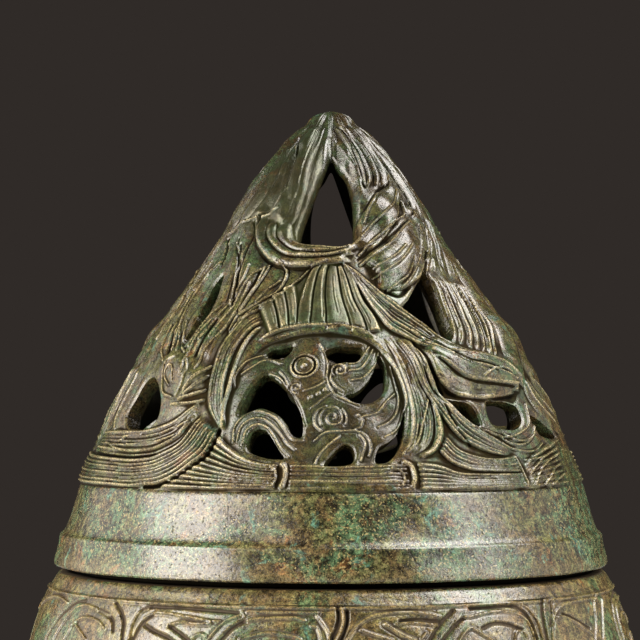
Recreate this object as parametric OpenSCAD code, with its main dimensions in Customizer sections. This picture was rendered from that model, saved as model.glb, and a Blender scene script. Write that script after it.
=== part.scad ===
// Bronze hill censer: a pierced hill-shaped lid that lifts off a round bowl,
// on a knopped stem and a spreading foot. One iron rivet ties bowl, stem and foot.
// Millimetres, +Z up, origin at the centre of the foot's resting face, front towards -Y.

/* [Lid] */
// Outer diameter of the lid's rim
lid_rim_d = 100; // [96:1:108]
// Height of the thick flange at the rim
lid_flange_h = 5.5; // [4:0.5:8]
// How far the plain band is set in behind the flange
lid_flange_step = 1; // [0.4:0.1:1.6]
// Height of the plain band above the flange
lid_band_h = 9; // [7:0.5:14]
// Diameter at the top of the plain band
lid_band_top_d = 91; // [88:1:95]
// Height of the lower hills, which hold the bird windows
lower_hills_h = 25; // [23:0.5:30]
// Diameter at the top of the lower hills
lower_hills_top_d = 68; // [63:1:72]
// Height of the middle hills
middle_hills_h = 23.5; // [21:0.5:28]
// Diameter at the top of the middle hills
middle_hills_top_d = 36; // [33:1:40]
// Height of the peak above the middle hills
peak_h = 19.5; // [17:0.5:24]
// Diameter of the peak half way up
peak_middle_d = 23.6; // [21:0.2:26]
// Diameter of the blunt tip of the peak
peak_tip_d = 9.6; // [8:0.2:11]
// Height of the blunt tip of the peak
peak_tip_h = 2.6; // [2:0.1:3.2]
// Wall of the lid, measured level
lid_wall = 3; // [2.2:0.1:3.8]
// How far the cast locks stand up from the hills, measured level
lock_h = 0.8; // [0.4:0.1:1.4]
// Depth of the recess that each bird stands in, measured level
window_depth = 1; // [0.4:0.1:1.6]

/* [Bowl] */
// Diameter of the bowl's shoulder under the lid
bowl_shoulder_d = 99.6; // [97:0.2:106]
// Drop of the rounded shoulder below the seat of the lid
bowl_shoulder_drop = 1.1; // [0.6:0.1:2]
// Diameter of the flat seat of the lid
bowl_seat_d = 96; // [94:0.5:97]
// Largest diameter of the bowl
bowl_belly_d = 112; // [106:1:126]
// Depth of the belly below the seat of the lid
bowl_belly_drop = 26; // [20:1:32]
// Height of the bowl, from its underside to the seat of the lid
bowl_h = 62; // [54:1:74]
// Wall of the bowl
bowl_wall = 2.6; // [2:0.1:3.6]
// Thickness of the bowl's floor at the rivet
bowl_floor_t = 4; // [3:0.5:6]
// Outer diameter of the upright lip that locates the lid
lip_d = 89.6; // [86:0.2:91]
// Height of the upright lip above the seat
lip_h = 6; // [4:0.5:8]
// Thickness of the upright lip
lip_wall = 2.4; // [1.8:0.1:3]
// Radial play between the lip and the lid
lid_play = 0.4; // [0.3:0.1:0.8]

/* [Stem] */
// Height of the stem
stem_h = 34; // [28:1:50]
// Diameter of the stem's top flange, under the bowl
stem_top_d = 30; // [27:1:36]
// Diameter of the stem's bottom flange, on the foot
stem_base_d = 32; // [28:1:36]
// Thickness of both flanges
stem_flange_t = 2.5; // [1.5:0.5:4]
// Diameter of the stem between its flanges and its knop
stem_neck_d = 18; // [14:1:22]
// Diameter of the knop
knop_d = 30; // [25:1:36]
// Height of the knop
knop_h = 12; // [9:1:14]
// Height of the coves that run into the flanges
stem_cove_h = 5; // [3:0.5:6]

/* [Foot] */
// Diameter of the foot where it rests
foot_d = 88; // [76:1:110]
// Height of the foot
foot_h = 30; // [24:1:40]
// Height of the upright rim of the foot
foot_rim_h = 6; // [4:0.5:9]
// How far the flare is set in behind the rim
foot_rim_step = 1.4; // [0.6:0.2:2.4]
// Diameter of the flat crown that carries the stem
foot_crown_d = 34; // [33:1:40]
// Thickness of the crown
foot_crown_t = 3.5; // [2.5:0.5:5]
// Wall of the foot
foot_wall = 2.6; // [2:0.1:3.6]

/* [Tie rivet] */
// Diameter of the iron rivet
rivet_d = 6; // [4:0.5:8]
// Diameter of the peened heads
rivet_head_d = 11; // [9:0.5:13]
// Height of the peened heads
rivet_head_h = 3.2; // [2:0.2:4]
// Diameter of the bronze burrs under the heads
burr_d = 17; // [14:0.5:19]
// Thickness of the bronze burrs
burr_t = 1.6; // [1:0.2:2.4]
// Radial play between the rivet and what it passes through
rivet_play = 0.05; // [0.03:0.01:0.1]

/* [Hidden] */
$fn = 96;
curve_steps = 6;
hole_steps = 3;
overcut = 1;
bronze = "#4d5a3c";
worn_bronze = "#6b6a45";
iron = "#4a3a30";

// Heights of the joints between the pieces
stem_z = foot_h;
bowl_z = stem_z + stem_h;
seat_z = bowl_z + bowl_h;

// Heights on the lid, from its rim
band_z = lid_flange_h;
hills_z = band_z + lid_band_h;
middle_z = hills_z + lower_hills_h;
peak_z = middle_z + middle_hills_h;
lid_h = peak_z + peak_h;

lid_bore_r = lip_d / 2 + lid_play;
lid_bore_h = lip_h + lid_play;
rivet_hole_r = rivet_d / 2 + rivet_play;

// Smooth curve through points: open, heading for a point beyond its end, or closed
function blend(a, b, c, d, t) = 0.5 * (2 * b + (c - a) * t + (2 * a - 5 * b + 4 * c - d) * t * t
                                       + (3 * b - a - 3 * c + d) * t * t * t);
function smooth_path(p, steps, beyond) =
    let (n = len(p), q = concat(p, [beyond]))
    concat([for (i = [0 : n - 2], j = [0 : steps - 1])
                blend(q[max(i - 1, 0)], q[i], q[i + 1], q[i + 2], j / steps)],
           [p[n - 1]]);
function smooth_loop(p, steps) =
    let (n = len(p))
    [for (i = [0 : n - 1], j = [0 : steps - 1])
        blend(p[(i + n - 1) % n], p[i], p[(i + 1) % n], p[(i + 2) % n], j / steps)];

// Outline of the hills from the plain band to the peak, as radius and height
over_the_tip = [-peak_tip_d / 2, lid_h - peak_tip_h];
hills_outline = smooth_path([[lid_band_top_d / 2, hills_z],
                             [lower_hills_top_d / 2, middle_z],
                             [middle_hills_top_d / 2, peak_z],
                             [peak_middle_d / 2, peak_z + peak_h / 2],
                             [peak_tip_d / 2, lid_h - peak_tip_h],
                             [0, lid_h]], curve_steps, over_the_tip);
hills_table = [for (p = hills_outline) [p[1], p[0]]];
function hill_radius(z) = lookup(z, hills_table);

// Smoke holes: degrees round from the middle of the front, height above the plain band
bird_gaps = [
    [[-18, 23.2], [-14.5, 22.8], [-11.5, 25], [-14.5, 24.4]],
    [[-1.8, 23.7], [0.5, 22], [4, 22], [7, 22], [9.2, 24], [5, 24.6], [1, 24.6]],
    [[-18, 19.8], [-21, 17.5], [-22.8, 12.9], [-17.5, 13.8], [-12.8, 13.1], [-9.2, 10.2],
     [-6.6, 9.4], [-7, 13.2], [-9.5, 16], [-13, 18.3]],
    [[13.5, 23.1], [15, 20.5], [13.8, 17.2], [10.5, 15.1], [6.5, 15.1], [3.6, 16.1],
     [8.5, 17.9], [11.2, 20]],
    [[-19.3, 7.6], [-18.3, 10.2], [-16, 10.6], [-13, 8.2], [-10.3, 5.6], [-13.5, 5.5], [-17, 6.3]],
    [[-1.6, 4.4], [1, 6.8], [3.2, 8], [5, 6.2], [4.6, 4.9], [1.5, 4.3]],
    [[9.8, 4.9], [12.4, 4.9], [15.5, 7.3], [17.5, 11.3], [18, 13.6], [16.3, 10.6],
     [13.5, 8.6], [10.6, 7.4]]];
valley_gaps = [
    [[-58, 19.2], [-52.5, 17.5], [-48.5, 14.5], [-49.5, 11], [-55, 10.2], [-61, 10.8],
     [-62.5, 14], [-61, 17.5]],
    [[29.8, 15.4], [34, 15.2], [37.5, 14], [38.8, 11.2], [35.5, 11.6], [32.2, 13.6]],
    [[43, 15], [52, 15.1], [55.3, 13.5], [54, 10.9], [47, 10.2], [42.5, 11.5]],
    [[59.5, 12.2], [66, 11], [71.5, 8.6], [66, 8.6], [60.5, 10.2]]];
slope_gaps = [
    [[-51, 37], [-48, 34], [-46.5, 31], [-48, 27], [-50, 24.3], [-52, 27.5], [-53, 32], [-53.5, 35]],
    [[43.5, 38], [35, 35.2], [28.5, 32.7], [24.5, 30.9], [29.5, 28.2], [36, 25.4],
     [39.5, 25.8], [42, 30], [43.5, 34]]];
peak_gaps = [
    [[0, 58], [6.5, 54.5], [11, 50.5], [12.5, 47], [10.5, 43.4], [0, 42.1], [-9, 42.3],
     [-15.8, 43.8], [-14, 47], [-9.5, 51.5], [-4, 55.5]]];
smoke_gaps = concat(bird_gaps, valley_gaps, slope_gaps, peak_gaps);

// Edge of the recess round the bird, as degrees and height like the smoke holes
bird_window = [[-26, 9], [-26.5, 15], [-25, 21.5], [-20, 24.7], [-9, 26.8], [4, 26.8], [13, 24.7],
               [17, 21.5], [19, 16], [17.5, 9], [12, 5.1], [-10, 4.9], [-22, 6.6]];

// Outlines of the cast locks that stand up from the hills, as degrees and height too
base_locks = [
    [[-92, 5.6], [-80, 5.5], [-67, 4.7], [-55, 4.4], [-45, 5.2], [-39, 8.4], [-32.4, 13.1],
     [-28, 10.1], [-36.5, 3.4], [-44, 1.2], [-55, 0.4], [-74, 0.4], [-92, 0.4]],
    [[-76, 9], [-65, 9.6], [-55, 9.5], [-48, 9.9], [-41.5, 13.5], [-36.6, 18.5],
     [-34.8, 14.1], [-40, 8.8], [-47, 5.9], [-56, 5.3], [-67, 5.6], [-80, 6.4]],
    [[-25, 7.6], [-18, 6.4], [-10, 5.6], [12, 5.6], [17, 4.7], [25, 4.4], [34, 2.9], [47, 3],
     [47, 0.4], [5, 0.4], [-37, 0.4]],
    [[49, 5.5], [62, 6], [75, 6], [87, 5.7], [87, 0.4], [68, 0.4], [49, 0.4]]];
window_locks = [
    [[20, 27], [25, 21.1], [29, 16.1], [33, 12.9], [39, 10.1], [48, 8.4], [57, 9],
     [50, 6.6], [40, 5.5], [31, 6.9], [26.6, 10.5], [25.6, 15.5], [22.4, 21.3], [18.2, 25.9]],
    [[16.4, 25.6], [20.4, 21.5], [23.6, 16.5], [24.8, 11.1], [23, 6.7],
     [15, 8], [16.5, 11.5], [17.5, 16.5], [16, 21.5], [13.5, 24.4]],
    [[-5.5, 36.4], [-12, 33.5], [-20, 29.5], [-25.4, 25.3], [-25, 20.5], [-25, 14.6],
     [-33.6, 14.8], [-34, 19.5], [-31.5, 25.9], [-25, 31.9], [-14, 36.5], [-5.5, 37.9]],
    [[4, 37.6], [9.4, 33.5], [14.6, 27.5], [-17, 27.5], [-9, 33], [0.5, 37.6]]];
slope_locks = [
    [[13, 33.1], [22, 29.1], [30, 26.1], [40, 24.3], [52, 23.1], [62, 19.5],
     [64, 16.9], [53, 17.5], [40, 17.7], [30, 19.3], [24.5, 23.7], [18.5, 28.9]],
    [[-44, 47.5], [-41.5, 41.5], [-37, 36.5], [-37, 28.5], [-41, 20],
     [-45, 21], [-45, 29.5], [-46, 35.5], [-52, 41.5], [-56, 47.5]],
    [[-22, 46.1], [-19.5, 43.5], [-13, 42.4], [-4, 41.9], [4, 42], [10, 43.1],
     [8, 38.7], [-1, 38.5], [-14, 38.1], [-31, 38.7], [-39.5, 41.9], [-42, 46.5]],
    [[50, 55.1], [57, 50.5], [54, 46.1], [44, 41.9], [30, 38.3], [14, 35.9],
     [10.5, 40.1], [12.6, 43.1], [14.6, 45.1], [19, 47.5], [26, 50.5], [33, 53]]];
locks = concat(base_locks, window_locks, slope_locks);

// The front half of the lid's openwork comes again on the back
front_and_back = [0, 180];

function mean_degrees(outline) = [for (p = outline) p[0]] * [for (p = outline) 1] / len(outline);

// A prism square through the wall over an outline on the hills, rounded in so many steps
module over_hills(outline, steps) {
    turn = mean_degrees(outline);
    flat = [for (p = outline) [hill_radius(hills_z + p[1]) * sin(p[0] - turn), hills_z + p[1]]];
    rotate([0, 0, turn])
        rotate([90, 0, 0])
            linear_extrude(lid_rim_d / 2 + overcut)
                polygon(smooth_loop(flat, steps));
}

// A skin that follows the hills, from so far out from them to so far out
module hills_skin(from, to) {
    function moved(out) = [for (p = hills_outline) [max(p[0] + out, 0), p[1]]];
    inner = moved(from);
    rotate_extrude()
        polygon(concat(moved(to), [for (i = [len(inner) - 1 : -1 : 0]) inner[i]]));
}

module smoke_hole(gap) { over_hills(gap, hole_steps); }

module lock(outline) {
    intersection() {
        over_hills(outline, 1);
        hills_skin(-lock_h / 2, lock_h);
    }
}

module window_recess() {
    intersection() {
        over_hills(bird_window, hole_steps);
        hills_skin(-window_depth, lock_h + overcut);
    }
}

// Closed section of the lid: rim, flange, plain band, hills, then the hollow inside
module lid_section() {
    inner_hills = [for (p = hills_outline) if (p[0] > lid_wall + peak_tip_d / 2) [p[0] - lid_wall, p[1]]];
    inner_top = inner_hills[len(inner_hills) - 1];
    outside = concat([[lid_bore_r, 0],
                      [lid_rim_d / 2, 0],
                      [lid_rim_d / 2 - lid_flange_step / 3, band_z - lid_flange_step],
                      [lid_rim_d / 2 - lid_flange_step * 4 / 3, band_z]],
                     hills_outline);
    inside = concat([[0, inner_top[1]]],
                    [for (i = [len(inner_hills) - 1 : -1 : 0]) inner_hills[i]],
                    [[lid_bore_r, lid_bore_h]]);
    polygon(concat(outside, inside));
}

module hill_lid() {
    color(bronze)
        translate([0, 0, seat_z])
            difference() {
                union() {
                    rotate_extrude() lid_section();
                    for (turn = front_and_back, outline = locks)
                        rotate([0, 0, turn]) lock(outline);
                }
                for (turn = front_and_back) rotate([0, 0, turn]) window_recess();
                for (turn = front_and_back, gap = smoke_gaps)
                    rotate([0, 0, turn]) smoke_hole(gap);
            }
}

// Outside of the bowl below its seat: a bellied shoulder over a half ellipse
function shoulder_curve(inset) =
    [for (i = [0 : curve_steps])
        let (share = 1 - i / curve_steps,
             belly_r = bowl_belly_d / 2,
             swell = belly_r - bowl_shoulder_d / 2,
             drop = bowl_belly_drop - bowl_shoulder_drop)
        [belly_r - swell * share * share - inset, -bowl_belly_drop + drop * share]];
function basin_curve(inset) =
    [for (i = [1 : 2 * curve_steps])
        let (a = 90 * i / (2 * curve_steps))
        [(bowl_belly_d / 2 - inset) * cos(a),
         -bowl_belly_drop - (bowl_h - bowl_belly_drop - inset) * sin(a)]];

module bowl_section() {
    lip_r = lip_d / 2;
    lip_inner_r = lip_r - lip_wall;
    outside = concat([[lip_inner_r, lip_h], [lip_r, lip_h], [lip_r, 0], [bowl_seat_d / 2, 0]],
                     shoulder_curve(0),
                     basin_curve(0));
    inner_shoulder = [for (p = shoulder_curve(bowl_wall)) if (p[1] < -2 * bowl_wall) p];
    inside = concat([[lip_inner_r, -bowl_wall]], inner_shoulder, basin_curve(bowl_wall));
    polygon(concat(outside, [for (i = [len(inside) - 1 : -1 : 0]) inside[i]]));
}

module bowl() {
    color(worn_bronze)
        translate([0, 0, seat_z])
            difference() {
                union() {
                    rotate_extrude() bowl_section();
                    translate([0, 0, -bowl_h]) cylinder(d = burr_d + 2 * bowl_wall, h = bowl_floor_t);
                    translate([0, 0, -bowl_h]) cylinder(d = stem_top_d, h = bowl_wall);
                }
                translate([0, 0, -bowl_h - overcut])
                    cylinder(r = rivet_hole_r, h = bowl_floor_t + 2 * overcut);
            }
}

// Quarter hollow from a flange to the neck; side 1 runs up from the bottom flange, -1 down from the top
function stem_cove(flange_r, flange_z, side) =
    [for (i = [0 : curve_steps])
        let (a = 90 * i / curve_steps, width = flange_r - stem_neck_d / 2)
        [flange_r - width * sin(a), flange_z + side * stem_cove_h * (1 - cos(a))]];

module stem_section() {
    middle = stem_h / 2;
    bottom_cove = stem_cove(stem_base_d / 2 - stem_flange_t / 2, stem_flange_t, 1);
    top_cove = stem_cove(stem_top_d / 2 - stem_flange_t / 2, stem_h - stem_flange_t, -1);
    knop_swell = (knop_d - stem_neck_d) / 2;
    knop = [for (i = [0 : 2 * curve_steps])
                let (a = 180 * i / (2 * curve_steps))
                [stem_neck_d / 2 + knop_swell * sin(a), middle - knop_h / 2 * cos(a)]];
    polygon(concat([[rivet_hole_r, 0], [stem_base_d / 2, 0], [stem_base_d / 2, stem_flange_t]],
                   bottom_cove,
                   knop,
                   [for (i = [len(top_cove) - 1 : -1 : 0]) top_cove[i]],
                   [[stem_top_d / 2, stem_h - stem_flange_t], [stem_top_d / 2, stem_h],
                    [rivet_hole_r, stem_h]]));
}

module stem() {
    color(bronze)
        translate([0, 0, stem_z]) rotate_extrude() stem_section();
}

// The foot's flare is a quarter ellipse, hollow side out, from the crown to the rim
flare_r = foot_d / 2 - foot_rim_step;
flare_w = flare_r - foot_crown_d / 2;
flare_h = foot_h - foot_rim_h;
function flare(grow, from) =
    [for (i = [0 : 2 * curve_steps])
        let (a = from + (90 - from) * i / (2 * curve_steps))
        [flare_r - (flare_w + grow) * cos(a), foot_h - (flare_h + grow) * sin(a)]];

module foot_section() {
    under_crown = asin(foot_crown_t / (flare_h + foot_wall));
    inner_flare = flare(foot_wall, under_crown);
    polygon(concat([[rivet_hole_r, foot_h]],
                   flare(0, 0),
                   [[foot_d / 2, foot_rim_h], [foot_d / 2, 0], [foot_d / 2 - foot_wall - foot_rim_step, 0],
                    [foot_d / 2 - foot_wall - foot_rim_step, foot_rim_h - foot_wall]],
                   [for (i = [len(inner_flare) - 2 : -1 : 0]) inner_flare[i]],
                   [[rivet_hole_r, foot_h - foot_crown_t]]));
}

module foot() {
    color(bronze) rotate_extrude() foot_section();
}

// Ends of the rivet's grip, outside the two burrs
grip_bottom = foot_h - foot_crown_t - burr_t;
grip_top = bowl_z + bowl_floor_t + burr_t;

// Quarter outline of a domed head that stands up from a height, or hangs from it
function head_curve(z, side) =
    [for (i = [0 : curve_steps])
        let (a = 90 * i / curve_steps)
        [rivet_head_d / 2 * cos(a), z + side * rivet_head_h * sin(a)]];

module tie_rivet() {
    bottom_head = head_curve(grip_bottom, -1);
    color(iron)
        rotate_extrude()
            polygon(concat([for (i = [len(bottom_head) - 1 : -1 : 0]) bottom_head[i]],
                           [[rivet_d / 2, grip_bottom], [rivet_d / 2, grip_top]],
                           head_curve(grip_top, 1)));
}

module burr(z) {
    color(worn_bronze)
        translate([0, 0, z])
            difference() {
                cylinder(d = burr_d, h = burr_t);
                translate([0, 0, -overcut]) cylinder(r = rivet_hole_r, h = burr_t + 2 * overcut);
            }
}

module bowl_burr() { burr(bowl_z + bowl_floor_t); }

module foot_burr() { burr(grip_bottom); }

hill_lid();
bowl();
stem();
foot();
tie_rivet();
bowl_burr();
foot_burr();
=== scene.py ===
import functools
import math
import bmesh
import bpy
import numpy as np
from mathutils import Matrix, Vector


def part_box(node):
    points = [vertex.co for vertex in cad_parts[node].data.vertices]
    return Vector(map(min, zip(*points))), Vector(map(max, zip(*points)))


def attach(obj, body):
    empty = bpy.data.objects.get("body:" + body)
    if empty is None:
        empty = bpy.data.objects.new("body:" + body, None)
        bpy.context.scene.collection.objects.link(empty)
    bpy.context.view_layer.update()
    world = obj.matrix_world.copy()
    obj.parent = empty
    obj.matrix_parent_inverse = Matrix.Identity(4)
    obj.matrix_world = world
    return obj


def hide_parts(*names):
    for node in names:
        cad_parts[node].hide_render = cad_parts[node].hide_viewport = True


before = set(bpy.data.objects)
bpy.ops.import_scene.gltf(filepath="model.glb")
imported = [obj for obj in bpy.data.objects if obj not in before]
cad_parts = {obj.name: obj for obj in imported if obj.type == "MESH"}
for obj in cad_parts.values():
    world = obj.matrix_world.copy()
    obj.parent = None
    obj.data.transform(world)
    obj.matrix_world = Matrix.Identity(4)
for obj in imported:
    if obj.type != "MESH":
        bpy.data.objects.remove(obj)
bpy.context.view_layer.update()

MM = 0.001
weld_m = 1e-7
seat_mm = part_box("hill_lid")[0].z / MM


def frame_mm(node, corner, axis):
    """A place of the CAD in mm, to a hundredth, at its low corner 0 or its high corner 1."""
    return round(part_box(node)[corner][axis] / MM, 2)


def above_seat(node, corner):
    """A height of the CAD over the seat of the lid."""
    return frame_mm(node, corner, 2) - frame_mm("hill_lid", 0, 2)


# Carving kit: heights laid over degrees round and millimetres along a turned outline


def smooth_line(points, closed=False, dense=7):
    """Even smooth curve through given points."""
    p = np.array(points, float)
    if closed:
        p = np.vstack([p[-1:], p, p[:2]])
    t = np.concatenate([[0], np.cumsum(np.hypot(*np.diff(p, axis=0).T) + 1e-9)])
    slope = np.gradient(p, t, axis=0)
    spans = range(1, len(p) - 2) if closed else range(len(p) - 1)
    u = np.linspace(0, 1, dense, endpoint=False)[:, None]
    parts = []
    for i in spans:
        d = t[i + 1] - t[i]
        parts.append((2 * u**3 - 3 * u**2 + 1) * p[i] + (u**3 - 2 * u**2 + u) * d * slope[i]
                     + (3 * u**2 - 2 * u**3) * p[i + 1] + (u**3 - u**2) * d * slope[i + 1])
    if not closed:
        parts.append(p[-1:])
    return np.vstack(parts)


def evenly(line, count):
    """The same line as so many evenly spaced points."""
    mm_per_deg = 0.65
    run = np.concatenate([[0], np.cumsum(np.hypot(*(np.diff(line, axis=0) * [mm_per_deg, 1]).T))])
    at = np.linspace(0, run[-1], count)
    return np.stack([np.interp(at, run, line[:, 0]), np.interp(at, run, line[:, 1])], axis=1)


def turned_outline(heights, radii, step):
    """Evenly spaced heights, radii and outward normals along a smooth turned outline."""
    line = smooth_line(np.stack([radii, heights], axis=1), dense=24)
    run = np.concatenate([[0], np.cumsum(np.hypot(*np.diff(line, axis=0).T))])
    count = int(round(run[-1] / step)) + 1
    at = np.linspace(0, run[-1], count)
    r, z = np.interp(at, run, line[:, 0]), np.interp(at, run, line[:, 1])
    dr, dz = np.gradient(r, at), np.gradient(z, at)
    size = np.hypot(dr, dz)
    return {"run": at, "r": r, "z": z, "nr": dz / size, "nz": -dr / size}


class Carving:
    """Relief in mm on a turned outline that repeats every so many degrees."""

    def __init__(self, outline, period, step_deg, step_mm, seed):
        self.outline, self.period, self.step_deg = outline, period, step_deg
        self.columns = int(round(period / step_deg))
        self.rows = int(round(outline["run"][-1] / step_mm)) + 1
        self.slope = np.linspace(0, outline["run"][-1], self.rows)
        self.step_mm = self.slope[1] - self.slope[0]
        self.mm_per_deg = np.interp(self.slope, outline["run"], outline["r"]) * math.pi / 180
        self.base = np.zeros((self.rows, self.columns))
        self.lines = np.zeros((self.rows, self.columns))
        self.chance = np.random.default_rng(seed)

    def up(self, z):
        return np.interp(z, self.outline["z"], self.outline["run"])

    def follow(self, key, run):
        return np.interp(run, self.outline["run"], self.outline[key])

    def place(self, points):
        p = np.array(points, float)
        return np.stack([p[:, 0], self.up(p[:, 1])], axis=1)

    def line(self, points):
        return smooth_line(self.place(points))

    def ring_line(self, points, dense=7):
        line = smooth_line(self.place(points), True, dense)
        return np.vstack([line, line[:1]])

    def near(self, line, half):
        """Share of the half width at each place, 0 on the line and 1 at its edge, and how far along."""
        far, least_scale = 9.0, 0.02
        share = np.full(self.base.shape, far)
        along = np.zeros(self.base.shape)
        half = np.broadcast_to(np.asarray(half, float), len(line))
        last = len(line) - 1
        for i in range(last):
            (t0, s0), (t1, s1) = line[i], line[i + 1]
            wide = max(half[i], half[i + 1])
            scale = max(np.interp((s0 + s1) / 2, self.slope, self.mm_per_deg), least_scale)
            reach = wide / scale
            c0 = math.floor((min(t0, t1) - reach + self.period / 2) / self.step_deg)
            c1 = min(math.ceil((max(t0, t1) + reach + self.period / 2) / self.step_deg),
                     c0 + self.columns - 1)
            r0 = max(math.floor((min(s0, s1) - wide) / self.step_mm), 0)
            r1 = min(math.ceil((max(s0, s1) + wide) / self.step_mm), self.rows - 1)
            if r1 < r0:
                continue
            columns = np.arange(c0, c1 + 1)
            x = ((columns * self.step_deg - self.period / 2 - t0) * scale)[None, :]
            y = (self.slope[r0:r1 + 1] - s0)[:, None]
            dx, dy = (t1 - t0) * scale, s1 - s0
            t = np.clip((x * dx + y * dy) / (dx * dx + dy * dy + 1e-12), 0, 1)
            q = np.hypot(x - t * dx, y - t * dy) / (half[i] + (half[i + 1] - half[i]) * t)
            spot = np.ix_(np.arange(r0, r1 + 1), columns % self.columns)
            closer = q < share[spot]
            share[spot] = np.where(closer, q, share[spot])
            along[spot] = np.where(closer, (i + t) / last, along[spot])
        return share, along

    def strand(self, line, half, lift, crown, flat=2.4, cut=0.22, fade=0.1, sharp=0.6):
        """A ribbon that covers what is under it and runs out at its ends: rounded, or with a sharp keel."""
        keel_mm, cut_mm, least_half = 0.17, 0.12, 0.3
        share, along = self.near(line, half)
        on = share < 1
        q, u = share[on], along[on]
        half = np.interp(u, np.linspace(0, 1, len(line)), np.broadcast_to(half, len(line)))
        keel = np.exp(-((q * np.maximum(half, least_half) / keel_mm) ** 2))
        level = lift + crown * ((1 - sharp) * (1 - q**flat) + sharp * keel)
        level -= cut * np.exp(-((1 - q) * half / cut_mm) ** 2)
        cover = np.clip(np.minimum(u, 1 - u) / fade, 0, 1)
        self.lines[on] += (level - self.lines[on]) * cover * cover * (3 - 2 * cover)

    def lock(self, edge_a, edge_b, count, lift=0.2, crown=0.5, flat=2.4, cut=0.22, scores=2, fade=0.1,
             sharp=0.6):
        """Uneven ribbons laid side by side between two edges, each scored along its length."""
        stations, half_share = 44, 0.53
        least_half, round_half, wide_half, score_half = 0.16, 0.4, 0.45, 0.13
        a, b = (evenly(self.line(edge), stations) for edge in (edge_a, edge_b))
        scale = np.interp((a[:, 1] + b[:, 1]) / 2, self.slope, self.mm_per_deg)
        width = np.hypot((b[:, 0] - a[:, 0]) * scale, b[:, 1] - a[:, 1])
        sides = np.concatenate([[0], np.cumsum(self.chance.uniform(0.7, 1.3, count))])
        sides /= sides[-1]
        for v0, v1 in zip(sides[:-1], sides[1:]):
            half = np.maximum(width * (v1 - v0) * half_share, least_half)
            line = a + (b - a) * (v0 + v1) / 2
            own_crown = crown * self.chance.uniform(0.8, 1.2) * min(1, half.mean() / round_half)
            self.strand(line, half, lift + self.chance.uniform(-0.1, 0.1), own_crown, flat, cut, fade,
                        sharp)
            for _ in range(scores if half.mean() > wide_half else scores // 2):
                v = v0 + (v1 - v0) * self.chance.uniform(0.15, 0.85)
                first, last = int(self.chance.uniform(2, 20)), int(self.chance.uniform(26, 43))
                self.thread((a + (b - a) * v)[first:last], score_half, self.chance.choice([-0.2, 0.14]))

    def thread(self, line, half, high):
        """A thin raised line with a shallow hollow on each side."""
        reach = 2.4
        share, _ = self.near(line, half * reach)
        on = share < 1
        q = share[on] * reach
        self.lines[on] += high * (1 - 1.2 * q**2) * np.exp(-0.75 * q**2)

    def ridge(self, points, half=0.19, high=0.34):
        self.thread(self.line(points), half, high)

    def groove(self, points, half, deep):
        share, _ = self.near(self.line(points), half)
        on = share < 1
        self.lines[on] -= deep * (1 - share[on] ** 2)

    def spiral(self, centre, radius, turns, start, half=0.19, high=0.34, inner=0.12):
        per_turn = 28
        t, s = centre[0], self.up(centre[1])
        scale = np.interp(s, self.slope, self.mm_per_deg)
        a = np.linspace(0, turns * 2 * math.pi, int(per_turn * abs(turns)) + 2)
        r = radius * (inner + (1 - inner) * np.linspace(0, 1, len(a)))
        a = a + math.radians(start)
        self.thread(np.stack([t + r * np.cos(a) / scale, s + r * np.sin(a)], axis=1), half, high)

    def ring(self, centre, radius, half=0.19, high=0.34):
        self.spiral(centre, radius, 1, 0, half, high, 1.0)

    def bead(self, centre, radius, high):
        t, s = centre[0], self.up(centre[1])
        share, _ = self.near(np.array([[t, s], [t, s + 1e-6]]), radius)
        on = share < 1
        self.lines[on] += high * (1 - share[on] ** 2)

    def swell(self, points, half, high):
        """A broad soft rise, or hollow, along a line."""
        share, _ = self.near(self.line(points), half)
        on = share < 1
        self.base[on] += high * (0.5 + 0.5 * np.cos(math.pi * share[on]))

    def patch(self, points, soft):
        """1 inside a smooth closed outline, falling to 0 at its edge."""
        line = self.ring_line(points)
        share, _ = self.near(line, soft)
        turn, slope = np.meshgrid(np.arange(self.columns) * self.step_deg - self.period / 2, self.slope)
        return np.where(within(line, turn, slope), np.clip(share, 0, 1), 0.0)

    def unevenness(self, wavelength, high):
        """Slow lumps of a hand-finished casting."""
        across = max(int(self.period * self.mm_per_deg.max() / wavelength), 2)
        upward = max(int(self.slope[-1] / wavelength), 2)
        knots = self.chance.normal(0, 1, (upward + 2, across))
        v = self.slope / self.slope[-1] * upward
        u = np.arange(self.columns) / self.columns * across
        i, j = v.astype(int), u.astype(int)
        fv, fu = v - i, u - j
        fv, fu = (fv * fv * (3 - 2 * fv))[:, None], (fu * fu * (3 - 2 * fu))[None, :]

        def knot(a, b):
            return knots[np.ix_(i + a, (j + b) % across)]

        self.base += high * ((knot(0, 0) * (1 - fu) + knot(0, 1) * fu) * (1 - fv)
                             + (knot(1, 0) * (1 - fu) + knot(1, 1) * fu) * fv)

    def blurred(self, field, reach):
        """Mean over so many mm each way, taken twice."""
        across = self.step_deg * self.mm_per_deg.mean()
        for axis, step, ends in ((0, self.step_mm, "edge"), (1, across, "wrap")):
            n = max(int(round(reach / step)), 1)
            for _ in range(2):
                room = [(n + 1, n) if k == axis else (0, 0) for k in (0, 1)]
                total = np.cumsum(np.pad(field, room, mode=ends), axis)
                first = np.arange(field.shape[axis])
                last = first + 2 * n + 1
                field = (np.take(total, last, axis) - np.take(total, first, axis)) / (2 * n + 1)
        return field

    def finish(self):
        """Relief, and how far each place stands proud of what is round it."""
        least_reach, fine_reach, broad_reach, broad_share = 0.01, 0.4, 1.6, 0.35
        self.relief = self.blurred(self.base + self.lines, least_reach)
        broad = self.relief - self.blurred(self.relief, broad_reach)
        fine = self.relief - self.blurred(self.relief, fine_reach)
        # Broad hollows count as hollow too, so that the finish darkens them as patina and painted shade
        self.proud = fine + broad_share * np.minimum(broad, 0)
        self.dull_and_shade = np.zeros(self.base.shape)

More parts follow.
